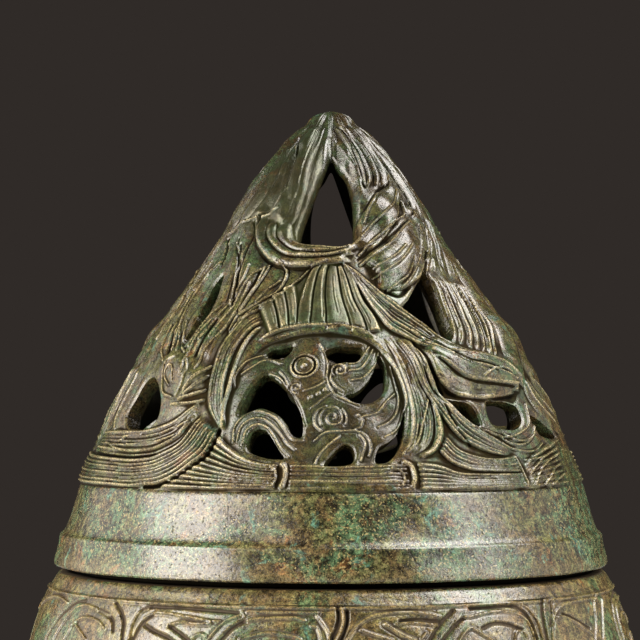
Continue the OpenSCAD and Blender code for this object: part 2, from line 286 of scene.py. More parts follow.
    def sample(self, field, turn, slope):
        u = ((turn + self.period / 2) / self.step_deg) % self.columns
        v = np.clip(slope / self.step_mm, 0, self.rows - 1.001)
        i, j = v.astype(int), u.astype(int) % self.columns
        fv, fu = v - i, u - np.floor(u)
        j1 = (j + 1) % self.columns
        return ((field[i, j] * (1 - fu) + field[i, j1] * fu) * (1 - fv)
                + (field[i + 1, j] * (1 - fu) + field[i + 1, j1] * fu) * fv)


def within(line, x, y):
    """True where a point lies inside a closed line."""
    inside = np.zeros(x.shape, bool)
    (x_low, y_low), (x_high, y_high) = line.min(axis=0), line.max(axis=0)
    near = (x >= x_low) & (x <= x_high) & (y >= y_low) & (y <= y_high)
    px, py = x[near], y[near]
    odd = np.zeros(px.shape, bool)
    for (x0, y0), (x1, y1) in zip(line[:-1], line[1:]):
        if y0 != y1:
            odd ^= ((y0 > py) != (y1 > py)) & (px < (x1 - x0) * (py - y0) / (y1 - y0) + x0)
    inside[near] = odd
    return inside


# Hills of the lid: degrees round from the middle of the front, height above the rim

hills_low, lower_top, middle_top, hills_top = 14.6, 35.5, 54.4, above_seat("hill_lid", 1)
hill_heights = [hills_low, 22.3, 29.6, 36.9, 44.2, 51.5, 58.8, 66, 73.4, 79, 81.6, hills_top]
hill_radii = [45.5, 42.3, 39.2, 35.2, 30, 24.8, 20, 16, 10.8, 5.5, 2.6, 0]
hills = turned_outline(hill_heights, hill_radii, step=0.05)
half_round, front_half = 180, 90
carving = Carving(hills, half_round, step_deg=0.12, step_mm=0.085, seed=7)

smoke_gaps = {
    "brow": [(-19, 37.9), (-14.5, 37.2), (-12.4, 37.9), (-11.2, 39.3), (-14.5, 39), (-17.5, 38.6)],
    "crest": [(-1.8, 38.2), (-0.5, 36.9), (1.5, 36.4), (4, 36.5), (7, 36.6), (8.8, 37.7), (9.2, 38.6),
              (5, 39.1), (1, 39.2)],
    "throat": [(-18, 34.2), (-20.5, 32.4), (-22, 30), (-22.8, 27.4), (-20, 27.9), (-17.5, 28.5),
               (-15, 28.1), (-12.8, 27.4), (-10.5, 25.8), (-8.8, 24), (-6.9, 23.8), (-6.6, 25.6),
               (-7.2, 27.5), (-8.6, 29.4), (-10.6, 31.3), (-13, 32.8)],
    "wing": [(13.6, 37.7), (15, 36), (14.8, 34), (14, 32), (12.5, 30.5), (10, 29.6), (7.5, 29.5), (5, 30),
             (3.6, 30.6), (6.5, 31.5), (9, 32.8), (11, 34.4), (12.4, 36)],
    "coil": [(-19.4, 22), (-19, 24), (-17.2, 25), (-15.4, 24.8), (-13.6, 23.4), (-12, 21.8), (-10.4, 20.2),
             (-12.5, 20), (-15.5, 20.4)],
    "legs": [(-1.6, 19), (0.2, 20.8), (1.8, 22), (3.4, 22.6), (4.9, 21.8), (5.2, 20.4), (4.7, 19.5),
             (3, 19), (0.6, 18.8)],
    "heel": [(9.8, 19.5), (12.2, 19.4), (14.5, 20.8), (16.5, 23), (17.7, 26), (18.1, 28.2), (17, 26.4),
             (15.4, 24.2), (13, 22.8), (10.8, 21.9)],
    "oval": [(-58, 33.8), (-52.5, 32), (-48.6, 29.4), (-47.8, 27.2), (-50, 25.1), (-55, 24.8),
             (-60.5, 25.2), (-62.8, 27.4), (-62.2, 30.5), (-60.8, 32.8)],
    "slit": [(-51, 51.8), (-48.6, 49.6), (-46.8, 46.5), (-47, 43), (-48.4, 40.2), (-50, 38.7),
             (-51.8, 40.4), (-52.3, 43.6), (-53.2, 47), (-53.6, 50)],
    "left_eye": [(29.8, 30), (34, 29.8), (37.2, 28.8), (38.6, 27), (38.8, 25.6), (35.6, 26.2), (32.4, 28)],
    "right_eye": [(42.8, 29.3), (47, 29.8), (52, 29.7), (55.2, 28.6), (55.2, 26.6), (53.4, 25.4),
                  (47, 24.8), (43, 25.8), (42, 27.5)],
    "notch": [(59.6, 26.8), (66, 25.6), (71.5, 23.1), (66, 23), (60.4, 24.6)],
    "flank": [(43.2, 52.3), (39, 51), (34, 49.4), (28.5, 47), (24.6, 45.4), (29.5, 42.8), (36, 40),
              (39.6, 40.2), (42, 44.5), (43.5, 48.5)],
    "peak": [(-1, 73.8), (7.5, 71.8), (14.5, 69.2), (15.5, 66), (14.5, 62.4), (13, 59.6), (12.6, 58.2),
             (7, 57), (-3, 56.7), (-11, 57), (-17.5, 58.4), (-17.5, 59.8), (-15, 63.6), (-11, 67.8),
             (-6, 71.6)],
}

# Broad rises and hollows
carving.unevenness(wavelength=9, high=0.22)
carving.unevenness(wavelength=3.2, high=0.1)
carving.swell([(24, 36), (35, 35.6), (48, 35.4), (60, 34)], half=5.5, high=1.1)
carving.swell([(28, 31), (40, 30.8), (54, 30.6)], half=2.6, high=-0.9)
carving.swell([(-52, 36), (-45, 34.6), (-38, 33)], half=4.5, high=0.8)
carving.swell([(-40, 64), (-37, 68.5), (-36, 74)], half=2.2, high=-0.7)
carving.swell([(26, 64), (34, 61), (34, 56), (24, 54)], half=5.0, high=1.0)
carving.swell([(90, 41), (78, 41), (66, 42)], half=6, high=0.9)
window = carving.patch([(-26, 23), (-26.5, 28), (-26.5, 32), (-25, 36), (-21, 39.2), (-14, 40.8),
                        (-4, 41.6), (4, 41.4), (10, 40.6), (14, 39), (17, 36), (19, 31), (18.6, 26),
                        (16, 22), (12, 19.6), (2, 19), (-10, 19.4), (-18, 20.2), (-23, 21.4)], soft=0.8)
round_from_front = np.arange(carving.columns) * carving.step_deg - front_half
window_deep, window_sill, window_rise, window_left, window_turn = 0.75, 17, 16, -29, 16
above_sill = (carving.follow("z", carving.slope) - window_sill) / window_rise
window_depth = window_deep * np.clip(above_sill, 0.3, 1)
left_share = np.clip((round_from_front - window_left) / window_turn, 0.35, 1)
carving.base -= window_depth[:, None] * window * left_share
arch = carving.patch([(-21.5, 58.2), (-21, 61.2), (-19, 65.6), (-19, 69.3), (-18, 73.1), (-13, 76.3),
                      (-4, 77.2), (8.5, 75.8), (16, 73.1), (21, 70.1), (20.5, 67.8), (18, 65), (16, 61.5),
                      (14.5, 58.2), (8, 56.2), (-4, 56), (-14, 56.6)], soft=2.4)
arch_deep, arch_turn, arch_least, arch_most = 1.3, 10, 0.6, 2.0
carving.base -= arch * np.clip(arch_deep + round_from_front / arch_turn, arch_least, arch_most)

# Peak: leaf on the left, frame of the hole, strips and flank on the right
carving.lock([(-44, 80), (-36.5, 73.7), (-31.5, 67.6), (-36, 64.2), (-46, 62)],
             [(-97, 80), (-97, 74), (-97, 68), (-97, 64), (-97, 60)], 4, lift=0.0, crown=0.45, sharp=0.2,
             scores=1)
carving.lock([(40, 79.5), (55, 73.6), (56, 69.8), (57, 66), (54, 61)],
             [(97, 80), (97, 74), (97, 69), (97, 65), (97, 60)], 3, lift=0.0, crown=0.45, sharp=0.15,
             scores=1)
carving.lock([(54, 62), (52, 58), (47, 54.5), (44.5, 52)], [(97, 63), (94, 58), (88, 54), (80, 50)], 5,
             lift=0.05, crown=0.4, sharp=0.3, scores=1)
carving.lock([(-14, 79), (-17, 74), (-18.5, 69.3), (-18.5, 65.6), (-20.5, 61.2), (-24, 59)],
             [(-44, 80), (-36, 73.7), (-31, 67.6), (-33.5, 64.3), (-40, 62)], 1, lift=0.3, crown=0.5,
             flat=2.0, sharp=0.0, scores=1)
carving.lock([(4, 79.5), (15, 76), (22, 72), (22.5, 69), (23.5, 67.2)],
             [(18, 79.3), (31, 76.2), (34, 72.9), (33, 70), (25.5, 67.2)], 2, lift=0.25, crown=0.4,
             sharp=0.2, scores=0)
carving.lock([(18, 79.3), (31, 76.2), (34, 72.9), (34, 70.5), (29, 66.6)],
             [(40, 79), (49, 75.6), (53, 72.8), (49.5, 70), (38, 67.4)], 2, lift=0.2, crown=0.35, sharp=0.2,
             scores=0)

# Slopes on both sides, behind the rest
carving.lock([(-56, 60), (-56.5, 50), (-55.5, 43), (-54, 38), (-53, 35)],
             [(-97, 60), (-97, 48), (-95, 41), (-86, 35)], 6, lift=-0.1, crown=0.4, sharp=0.4, scores=1)
carving.lock([(-63.5, 35), (-64.5, 30), (-64.5, 26.5), (-62, 24)],
             [(-97, 37), (-95, 30), (-90, 25), (-84, 21.5)], 5, lift=0.0)
carving.lock([(66, 52), (66, 46), (62, 40), (57, 35.5)], [(97, 55), (97, 46), (92, 38), (80, 32)], 3,
             lift=0.1, crown=0.6, flat=2.0, cut=0.12, scores=0, sharp=0.0)
carving.lock([(60, 33), (62, 29.5), (68, 26.5), (78, 24)], [(74, 34), (80, 31), (88, 28), (97, 26)], 3,
             lift=0.1)
carving.lock([(-40, 62), (-38, 56), (-36.5, 50), (-37, 43), (-39, 38), (-42, 34.5)],
             [(-57, 62), (-53, 56), (-47, 51), (-45, 45), (-46.5, 40), (-47, 35)], 3, lift=0.05, crown=0.14,
             cut=0.06, scores=0, sharp=0.2)
carving.lock([(-27, 52.8), (-29, 49), (-33, 44), (-35.5, 39), (-36, 35.5)],
             [(-38.5, 55.5), (-37.5, 50), (-38, 44), (-39, 39), (-39.5, 36)], 2, lift=0.05, crown=0.16,
             cut=0.08, scores=0, sharp=0.2)
carving.lock([(45, 51.5), (42.5, 46), (39, 41), (36.5, 39.6)],
             [(66, 50.5), (63.5, 44), (58, 39), (53, 36.4)], 7, lift=0.15, crown=0.45, flat=2.0, cut=0.2)

# Fan over the window, roll under the peak hole, petal, crest and brow on the right
carving.lock([(-4.5, 52.8), (-7.5, 52), (-10, 48.5), (-11, 44.6), (-11.5, 42)],
             [(6, 52.8), (8.5, 51), (11.5, 46.8), (14.5, 43.3), (15.5, 41)], 5, lift=0.2, crown=0.4, flat=4,
             cut=0.5, scores=1, fade=0.04, sharp=0.0)
carving.lock([(-14, 49.6), (-11.5, 46), (-10.5, 42.4)], [(-25, 45.4), (-21.5, 43), (-19, 41)], 3, lift=0.2,
             crown=0.45, flat=3, cut=0.45, scores=1, fade=0.04, sharp=0.0)
carving.lock([(-22, 60.6), (-19, 57.8), (-14, 56.4), (-5, 56), (5, 56.2), (13, 58)],
             [(-44, 62.2), (-40.5, 58.5), (-33, 55.5), (-24, 53.2), (-17, 52.7), (-8, 52.6), (0, 53),
              (8, 53.6)], 3, lift=0.35, crown=0.65, flat=2.0, sharp=0.1, scores=1)
carving.lock([(47, 68.5), (33, 66), (23, 63), (16.5, 60), (12.5, 57)],
             [(56, 63), (50, 56.5), (40, 51.6), (30.5, 49.2), (18, 49)], 2, lift=0.35, crown=0.7, flat=2.0,
             cut=0.25, scores=0, sharp=0.0)
carving.lock([(3, 53.8), (10, 51.7), (18, 48.2), (24, 45.4), (29.5, 42.6), (35, 39.8), (43, 37.4)],
             [(6, 52.8), (10, 49.5), (14.5, 45), (17.5, 42), (22, 40.2), (28, 38), (38, 35.8)], 7,
             lift=0.45, crown=0.42, flat=2.0, cut=0.2)
carving.lock([(30, 40.6), (36, 38.8), (43, 37.4), (50, 36.6), (55.5, 34.8), (61, 32)],
             [(24.5, 37.6), (28, 33.5), (32, 31.2), (40, 30.2), (48, 30.6), (57, 31)], 3, lift=0.5,
             crown=0.55, flat=3, cut=0.1, scores=2, sharp=0.0)

# Base, from the fan on the left over the bar to the right
carving.lock([(-27.5, 24.2), (-23.5, 22.1), (-20, 20.4), (-16, 19.4), (-11.4, 19)],
             [(-40, 15), (-33, 15), (-25, 15), (-18, 15), (-11.4, 15)], 10, lift=0.15, crown=0.48, cut=0.2,
             fade=0.03)
carving.lock([(-9.2, 19.1), (0, 18.9), (10, 18.9), (17, 19.2)],
             [(-9.2, 14.9), (0, 14.9), (10, 14.9), (17.2, 14.9)], 7, lift=0.15, crown=0.25, cut=0.1,
             fade=0.03)
carving.lock([(18.8, 19.4), (24, 18.9), (28, 17.7), (34, 17.4), (46.5, 17.2)],
             [(18.8, 14.9), (26, 14.9), (32, 14.9), (38, 14.9), (48, 14.9)], 6, lift=0.15, crown=0.4,
             cut=0.16, fade=0.03)
carving.lock([(48.5, 18.5), (54, 20.4), (63, 22), (78, 23.6), (97, 23.4)],
             [(48.5, 14.9), (58, 14.9), (70, 15), (82, 15), (97, 15)], 8, lift=0.15, crown=0.22, cut=0.1,
             fade=0.04)
carving.lock([(27, 23.8), (29, 21.8), (33.5, 20.4), (39.5, 19.8), (47, 20.2)],
             [(24.5, 21.4), (27, 19.4), (31, 18.1), (38, 17.6), (46.5, 17.4)], 5, lift=0.35, crown=0.45,
             cut=0.18, fade=0.05)
carving.lock([(15.5, 40.4), (17.5, 37.6), (19, 33.6), (19.6, 29.5), (19, 25.2), (17, 21.8), (14.5, 19.9)],
             [(18.5, 41), (21, 36.6), (23, 32.4), (24.4, 29.6), (24.8, 26.4), (23.4, 23), (20, 20.6)], 7,
             lift=0.2, crown=0.45, cut=0.2, sharp=0.7)
carving.lock([(24.8, 29.8), (25, 26.8), (24.4, 23.8), (22.6, 21.6), (19, 20.4)],
             [(25.4, 29.6), (26.8, 26.8), (26.8, 24), (25, 21.8), (20, 20)], 1, lift=0.3, crown=0.4)
carving.lock([(22.5, 40.6), (24.5, 38), (26.5, 34.5), (28.5, 31.4), (31.5, 28.2), (36.5, 25.2),
              (42.5, 22.8), (47.5, 21.2)],
             [(18.5, 41), (21, 36.8), (23, 32.6), (24.8, 29.8), (27, 26.9), (30.5, 23.6), (36, 21.4),
              (46, 20)], 6, lift=0.45, crown=0.55, cut=0.22)
carving.lock([(-24.5, 46.6), (-31, 42.6), (-33.5, 38.8), (-33.3, 34), (-32, 29.2), (-29, 26.5), (-26, 24.7),
              (-23, 22.8)],
             [(-21, 43.2), (-26, 41), (-28, 38), (-28.6, 34), (-27.6, 30), (-26.2, 26.8), (-24.4, 24.2),
              (-22, 22.4)], 7, lift=0.25, crown=0.42, cut=0.2)
carving.lock([(-76, 24), (-64, 24.4), (-54, 24.6), (-46, 25.2), (-40, 26.6), (-36.5, 28.4), (-34, 30)],
             [(-80, 20.6), (-60, 20), (-50, 20), (-44, 20.5), (-40, 21.6), (-37, 23), (-33.2, 27.4)], 6,
             lift=0.2, crown=0.36, flat=4, cut=0.14, scores=0)
carving.lock([(-97, 20.4), (-78.5, 20), (-60, 19.7), (-50, 19.7), (-44, 20.2), (-40, 21.3), (-37, 22.7),
              (-35, 24.8), (-32.8, 27.4)],
             [(-97, 14.9), (-78.5, 14.9), (-58, 15), (-45, 15.1), (-39.5, 15.7), (-35.5, 17.2), (-32, 19.1),
              (-29.5, 20.8), (-28.3, 22.8), (-27.6, 25)], 8, lift=0.35, crown=0.5, flat=2.0, cut=0.22,
             scores=1, fade=0.04, sharp=0.45)

# Single strands: rods left of the window, rim of the oval hole, ends of the base bundles
single_strands = [
    ([(-40.5, 30.6), (-37, 33.5), (-33.4, 35.6)], 0.26),
    ([(-40.3, 30.2), (-36.1, 32.2), (-33.4, 33.8)], 0.24),
    ([(-41.9, 29.6), (-36.6, 30.6), (-33, 31.4)], 0.22),
    ([(-44.1, 28.8), (-37.4, 29.2), (-32.6, 29.8)], 0.22),
    ([(-72.5, 36), (-73.5, 33), (-73.5, 29.6), (-75.5, 26), (-77.5, 23.6)], 1.1),
    ([(-11, 19.4), (-9.9, 18.4), (-9.8, 16.8), (-10.6, 14.9)], 0.5),
    ([(15.4, 19.6), (17.6, 18.7), (18, 17), (17, 14.9)], 0.5),
    ([(46, 20.4), (46.6, 18), (47.2, 14.9)], 0.5),
]
for points, half in single_strands:
    carving.strand(carving.line(points), half, lift=0.3, crown=0.4, cut=0.15)

# Creases of the left slope
left_creases = [
    [(-49, 57), (-42.5, 53), (-39, 49.5), (-36.3, 45.8)], [(-40.3, 43.4), (-41.5, 40.5), (-41, 37)],
    [(-67, 58.5), (-60, 56.4), (-56, 53.2)], [(-30.4, 52), (-31.6, 48.4), (-33, 45)],
    [(-66.5, 49), (-64, 44.6), (-58.5, 40.2), (-55, 37.6)],
]
for points in left_creases:
    carving.groove(points, half=0.45, deep=0.55)

# Thin raised lines
thin_lines = [
    [(-70.9, 59.3), (-55.3, 61.3), (-40.4, 62.4), (-31, 63.4)],
    [(-52.9, 57.6), (-44.1, 54.2), (-40.5, 50.1), (-37.6, 46.1)],
    [(-33, 50), (-33.2, 46), (-34.9, 41.7), (-38.2, 38.2), (-38.8, 34.8)],
    [(-28.5, 52.7), (-30, 48.2), (-31.9, 44.7), (-33, 41.6)],
    [(-22.1, 53.5), (-17.5, 51.2), (-19, 48.6), (-23.8, 46.8), (-31.5, 44.3)],
    [(-42.3, 43.5), (-44.4, 40.9), (-44.2, 37.4), (-42.8, 33.9)],
    [(-54.5, 38.5), (-58, 41.9), (-62, 45.6), (-63, 50), (-58, 54.5)],
    [(-70.5, 40.3), (-71.1, 43), (-75.4, 47.6), (-86, 53)], [(-54.2, 36.2), (-61.2, 38.9), (-65.4, 42.9)],
    [(-67.5, 22.1), (-57, 21), (-49, 21), (-43, 21.8), (-38.5, 23.6), (-35.5, 25.8)],
    [(-61, 22.4), (-56.5, 23.5), (-51.5, 23.8)],
    [(-56, 22), (-48.5, 22.5), (-42, 23.1), (-38.5, 24), (-36, 25.3)],
    [(-44.5, 23.8), (-41, 24.7), (-37, 25.8), (-35, 26.8)],
    [(-44.1, 30.1), (-49.4, 31.4), (-51.3, 33.5), (-51.6, 36.1), (-49.1, 37)],
    [(-47.1, 32.2), (-50.2, 34), (-49.6, 35.3), (-47.2, 34.8), (-45.5, 32.6)],
    [(-42.7, 30.1), (-41.3, 32.2), (-41.3, 34.4), (-43.5, 36.6)], [(-58, 42.4), (-51, 38.2)],
    [(-57, 43.7), (-49.5, 38.8), (-46, 37.7)], [(-45.9, 38.7), (-44.7, 43.5), (-41.2, 46.1)],
    [(-39.5, 40.4), (-36.1, 44.7), (-33.3, 51.4), (-26.5, 53.1)],
    [(-31.5, 44.3), (-23.8, 46.8), (-18.5, 49.4), (-18, 52.1)],
    [(-32.6, 41.2), (-28, 44.7), (-20.2, 47.2), (-12, 50.3)],
    [(-43.3, 40), (-40, 44.3), (-36.7, 49.2), (-36.7, 53.2)],
    [(-2, 53.3), (-8.5, 52.1), (-13.5, 49.6), (-18.5, 47.1), (-24.5, 45.1), (-30.5, 43)],
    [(-20, 50.3), (-24.5, 48.3), (-27, 46.5)], [(-26.5, 52.9), (-28, 50.8), (-32, 44.8)],
    [(42.5, 33.1), (47, 34.2), (51.5, 34.3), (57, 32.5)],
    [(35, 25.2), (40, 24.6), (44.5, 23.6), (52, 24.2), (57.5, 26), (59.5, 29)],
    [(43, 24), (47.5, 22.3), (54.5, 22.7), (58.5, 24.1)],
    [(47, 69.7), (39.9, 67.7), (28, 65.5), (21.1, 63), (17.5, 60.6)],
    [(45.5, 66.8), (39.6, 64.6), (30.4, 62.3), (21.6, 60.2), (15, 58)],
    [(45.9, 64.7), (44.6, 63.1), (36.3, 60.9), (27.1, 58.9), (19.4, 57), (12.1, 54.6)],
    [(34.3, 55.9), (28.7, 54.3), (22.8, 52.9), (17.3, 52.1)],
    [(54.8, 64.8), (52.8, 63), (46.5, 61.3), (37.1, 59.3), (29, 56.9), (20.9, 55), (12.1, 52.9)],
    [(37.6, 55.9), (29.8, 53.3), (23.2, 51.7), (16.5, 50.6)],
    [(36.5, 53.9), (32, 51.2), (25.9, 49.6), (20.9, 48.3)],
    [(51.9, 60.3), (47.2, 57.1), (39.4, 53.6), (32.8, 50.7), (27.1, 48.9)],
    [(59.4, 60.5), (54.4, 57.3), (44.6, 53.7)],
    [(37.7, 25), (42.2, 22.9), (49, 21.1), (55.2, 21), (60.4, 22.2)],
    [(45.6, 24.1), (50.3, 22.8), (56.6, 23.6), (60.5, 25.7)],
    [(50, 15.3), (54.5, 17.7), (65, 20), (74.3, 21.2)], [(54, 15.2), (60.5, 17.5), (73.9, 19.4)],
    [(49.5, 17), (54.5, 18.9), (64.7, 20.9), (73.7, 22.1)],
    [(57, 15.1), (65, 16.6), (75.3, 17.2), (88, 17.4)],
    [(49.6, 19.4), (56.3, 19.7), (66.4, 20.8), (78, 20.4)],
    [(28.3, 36.4), (36.9, 33.1), (44.7, 32.6), (56.5, 32)],
    [(33.9, 37.3), (44.4, 36.5), (53.2, 35.3), (60.4, 31.8)], [(39.4, 35.2), (47.5, 34.4), (56.1, 32.7)],
    [(24.7, 41.2), (29.4, 38.2), (34.1, 36.5)], [(24.4, 29.7), (22.1, 26.3), (20, 23), (17.2, 21)],
    [(-13, 18.6), (-11.8, 17.8), (-11.6, 16.6), (-12.2, 15.6)],
    [(13, 18.4), (15.4, 17.8), (15.8, 16.6), (15, 15.6)],
]
for points in thin_lines:
    carving.ridge(points, half=0.2, high=0.4)

# Deep cuts between the forms, worn narrower and shallower than they were cut
kept_width, kept_depth = 0.75, 0.7
deep_cuts = [
    ([(-44, 15), (-39.5, 15.4), (-35, 17), (-31.5, 18.9), (-29, 20.5), (-27.6, 22.7), (-27, 24.8)],
     0.5, 0.8),
    ([(-75, 20.4), (-60, 19.9), (-50, 19.9), (-44, 20.4)], 0.35, 0.5),
    ([(-52, 77.4), (-36.5, 73.7), (-31, 67.6), (-35, 64.3), (-44, 62.2)], 0.5, 0.7),
    ([(9.5, 79), (18.5, 77.1), (23, 71.3), (23.5, 67.5)], 0.4, 0.6),
    ([(48.5, 75.4), (53.5, 73.2), (50, 70.1), (42.5, 68.1), (30.5, 66.4)], 0.35, 0.5),
    ([(56.5, 64.7), (50.5, 62.3), (39, 60), (18.5, 55.4), (11.5, 53.9)], 0.35, 0.5),
    ([(-44, 62.2), (-40.5, 58.5), (-33, 55.3), (-24, 53), (-17.5, 52.5), (-8.5, 52.3)], 0.45, 0.6),
    ([(-47, 61.2), (-42, 57.8), (-42.5, 55.7), (-40.5, 52)], 0.4, 0.6),
    ([(-53, 58.4), (-50.5, 56.5), (-43.5, 53.1), (-42, 49.9), (-40.5, 47)], 0.4, 0.6),
    ([(24, 39), (26, 36.4), (27.5, 33.2), (29.5, 31.1)], 0.6, 1.0),
    ([(23.5, 38.4), (24.5, 35.6), (25.5, 32.5), (28, 30.2), (29.5, 26.9), (31.5, 23.8), (33.5, 22.1)],
     0.35, 0.6),
    ([(20.5, 48.3), (25, 47.6), (30.5, 49.1), (40, 51.3), (48, 55.5)], 0.5, 0.7),
]
for points, half, deep in deep_cuts:
    carving.groove(points, half * kept_width, deep * kept_depth)

# The base is worn flatter at the right side
worn_side = carving.patch([(66, 24.5), (80, 25), (97, 25), (97, 14.7), (80, 14.7), (66, 14.7)], soft=3)
worn_away = 0.6
carving.lines *= 1 - worn_away * worn_side

# Frame of the window and the bird in it
carving.lines *= (1 - window) * (1 - arch)
frame_strands = [
    [(-26.4, 24.4), (-27, 28), (-26.8, 32), (-26.6, 36), (-25, 40.2), (-22, 42.4)],
    [(-22, 39.9), (-16, 41.5), (-8.5, 42.1), (-2.5, 42.2), (4, 42.1), (9, 41.5), (13.4, 40.2)],
]
for points in frame_strands:
    carving.strand(carving.line(points), 0.32, lift=0.35, crown=0.3, cut=0.15)
bird_lines = [
    [(-14, 37.3), (-17.6, 37.7), (-21, 37.2), (-24.5, 35.7), (-26, 33.5), (-25.4, 31.9)],
    [(-14, 36.2), (-16.5, 36.7), (-19, 36.6), (-21.5, 35.5), (-24.4, 34.2)],
    [(-16.5, 34.4), (-13.5, 33.6), (-11.6, 32.2), (-10, 30.6), (-7.8, 28.4), (-6.3, 25.6)],
    [(-14, 34.9), (-12.5, 33.9), (-11, 32.2)], [(-6.9, 31.5), (-4, 32.1), (-2.3, 32.8), (-1.3, 33.3)],
    [(-4.8, 28.6), (-2.7, 29.8), (-0.7, 30.8), (0.7, 31.3)],
    [(-3.4, 39.5), (-1.8, 38), (-0.9, 36.1), (-1.1, 33.9), (-0.6, 32.6), (1, 30.9), (4, 29.9), (7, 29.1)],
    [(0, 34.6), (-0.2, 33.5), (1, 32.4), (3, 31.4)], [(5, 36.2), (7.2, 36.4), (9.2, 37.6), (11.2, 39)],
    [(4.8, 35), (8, 35.4), (10.4, 37), (12.2, 38.6)],
    [(5.4, 33.4), (8.6, 33.9), (10.6, 34.9), (12.8, 36.6), (13.6, 38)],
    [(-1.2, 28.9), (-3.6, 27.9), (-3.9, 26), (-2.2, 24.7)], [(2.6, 28.4), (3.7, 27.2), (3.5, 25.9)],
    [(6.2, 27.5), (7.4, 26.7), (7, 25.5), (5.3, 24.9)], [(7.4, 27.1), (11.5, 28), (13.7, 29.6), (16.3, 31)],
    [(11, 25.3), (14, 26.3), (15.8, 27.6), (17, 30), (16.8, 32.8), (16.2, 35.7)],
    [(12.4, 23.6), (15.3, 24.8), (17.6, 27.2), (18.8, 30), (18.4, 33), (17, 35.7), (15.6, 37.4)],
    [(-3.8, 23.2), (-1.9, 24.3), (2.2, 24.7), (6.6, 24.5), (8.2, 23.6), (9, 22), (8.4, 20.6)],
    [(1.9, 23.8), (-1.2, 22), (-3, 20.4), (-3.6, 19.2)],
    [(6.5, 24.1), (7.8, 22.7), (7.2, 21.2), (6.5, 19.8)],
    [(-23, 22.8), (-23.2, 25.2), (-21.5, 27), (-18.8, 28), (-15.8, 27.7), (-13, 26.8), (-10.9, 25.1),
     (-8.8, 23.4), (-6.4, 23.2)],
    [(-22, 23), (-21.6, 25.2), (-19.2, 26.6), (-16.3, 26.7), (-14.4, 26), (-12.2, 24.6), (-10, 22.7),
     (-8, 21.6)],
    [(-20.6, 22.4), (-20.2, 24.6), (-18, 25.7), (-15.6, 25.5), (-13.4, 23.9), (-11.4, 21.8), (-9.4, 20.4)],
]
for points in bird_lines:
    carving.ridge(points)
bird_eye = (-7.4, 35.8)
carving.ring(bird_eye, 2.3)
carving.ring(bird_eye, 1.95, half=0.16, high=-0.4)
carving.ring(bird_eye, 1.6, half=0.15, high=0.28)
carving.bead(bird_eye, 0.55, high=0.4)
for collar_bead in [(-5.2, 30.4), (-3.2, 31), (-1.5, 31.7)]:
    carving.bead(collar_bead, 0.42, high=0.4)
jaw_curl, wing_curl, body_curl = (-8.9, 32), (2.4, 35.1), (0.4, 27)
carving.spiral(jaw_curl, 1.1, turns=1.3, start=160)
carving.spiral(wing_curl, 1.5, turns=1.6, start=4)
carving.spiral(body_curl, 2.3, turns=1.75, start=-55, half=0.17, high=0.36)

# Lips of the smoke holes, rounded
lip_mm, lip_drop, lip_proud, lip_wear, lip_full, lip_fall = 0.6, 0.4, 0.13, 0.8, 1.6, 3
tip_fade_mm = 4
gap_lines = [carving.ring_line(outline, 5) for outline in smoke_gaps.values()]
from_lip = [carving.near(line, lip_mm)[0] for line in gap_lines]
tip_fade = np.clip((hills["run"][-1] - carving.slope) / tip_fade_mm, 0, 1)[:, None]
carving.base *= tip_fade
rounding = np.max([lip_drop * np.clip(1 - share, 0, 1) ** 2 for share in from_lip], axis=0)
carving.lines = (carving.lines - rounding) * tip_fade
carving.finish()
lip = np.max([np.clip(lip_full - lip_fall * share, 0, 1) for share in from_lip], axis=0)
carving.proud += (lip_proud - carving.proud) * lip * lip_wear

# Painted darker and duller: the window, as deeper patina and painted shade in its recess, the fan over it,
# the leaf left of the peak hole, and the left side of the peak arch as painted shade
dull_leaf = carving.patch([(-8, 78.5), (-50, 80), (-60, 72), (-58, 62), (-44, 58), (-26, 57), (-14, 57.6),
                           (-9, 64), (-3, 72)], soft=1.2)
dull_fan = carving.patch([(-25, 45), (-12, 50.5), (-4, 53), (7, 52.8), (14, 45.5), (17, 41.5), (4, 42),
                          (-10, 41.8), (-20, 40.6)], soft=0.8)
arch_shade_turn = 12
# Painted shade on the left side of the peak arch
arch_left_shade = arch * np.clip(-round_from_front / arch_shade_turn, 0, 1)
carving.dull_and_shade = np.max([window, 1.8 * dull_fan, 2 * dull_leaf, 2 * arch_left_shade], axis=0)

# Carved sheets bent round an outline, pierced, and given their inner wall

# A corner of the grid keeps its row and column in one whole number
grid_row = 10000

# A flat sheet lies at 0 and its inner wall at -1 until they are bent
wall_level = -0.5


def to_gaps(carving, gap_lines, turn, run):
    """Signed distance in mm to the nearest smoke hole's edge, negative inside, and the place there."""
    reach, far = 1.5, 9.0
    mm_per_deg = np.maximum(np.interp(run, carving.slope, carving.mm_per_deg), 1e-6)
    distance = np.full(turn.shape, far)
    edge_turn, edge_run = turn.copy(), run.copy()
    for line in gap_lines:
        (turn_low, run_low), (turn_high, run_high) = line.min(axis=0), line.max(axis=0)
        beside = reach / mm_per_deg
        near = np.nonzero((run > run_low - reach) & (run < run_high + reach)
                          & (turn > turn_low - beside) & (turn < turn_high + beside))[0]
        if len(near) == 0:
            continue
        t, s, k = turn[near], run[near], mm_per_deg[near]
        best = np.full(len(near), far)
        bt, bs = t.copy(), s.copy()
        for (t0, s0), (t1, s1) in zip(line[:-1], line[1:]):
            dx, dy = (t1 - t0) * k, s1 - s0
            x, y = (t - t0) * k, s - s0
            f = np.clip((x * dx + y * dy) / (dx * dx + dy * dy + 1e-12), 0, 1)
            d = np.hypot(x - f * dx, y - f * dy)
            closer = d < best
            best = np.where(closer, d, best)
            bt = np.where(closer, t0 + f * (t1 - t0), bt)
            bs = np.where(closer, s0 + f * (s1 - s0), bs)
        signed = np.where(within(line, t, s), -best, best)
        take = np.abs(signed) < np.abs(distance[near])
        distance[near] = np.where(take, signed, distance[near])
        edge_turn[near] = np.where(take, bt, edge_turn[near])
        edge_run[near] = np.where(take, bs, edge_run[near])
    return distance, edge_turn, edge_run


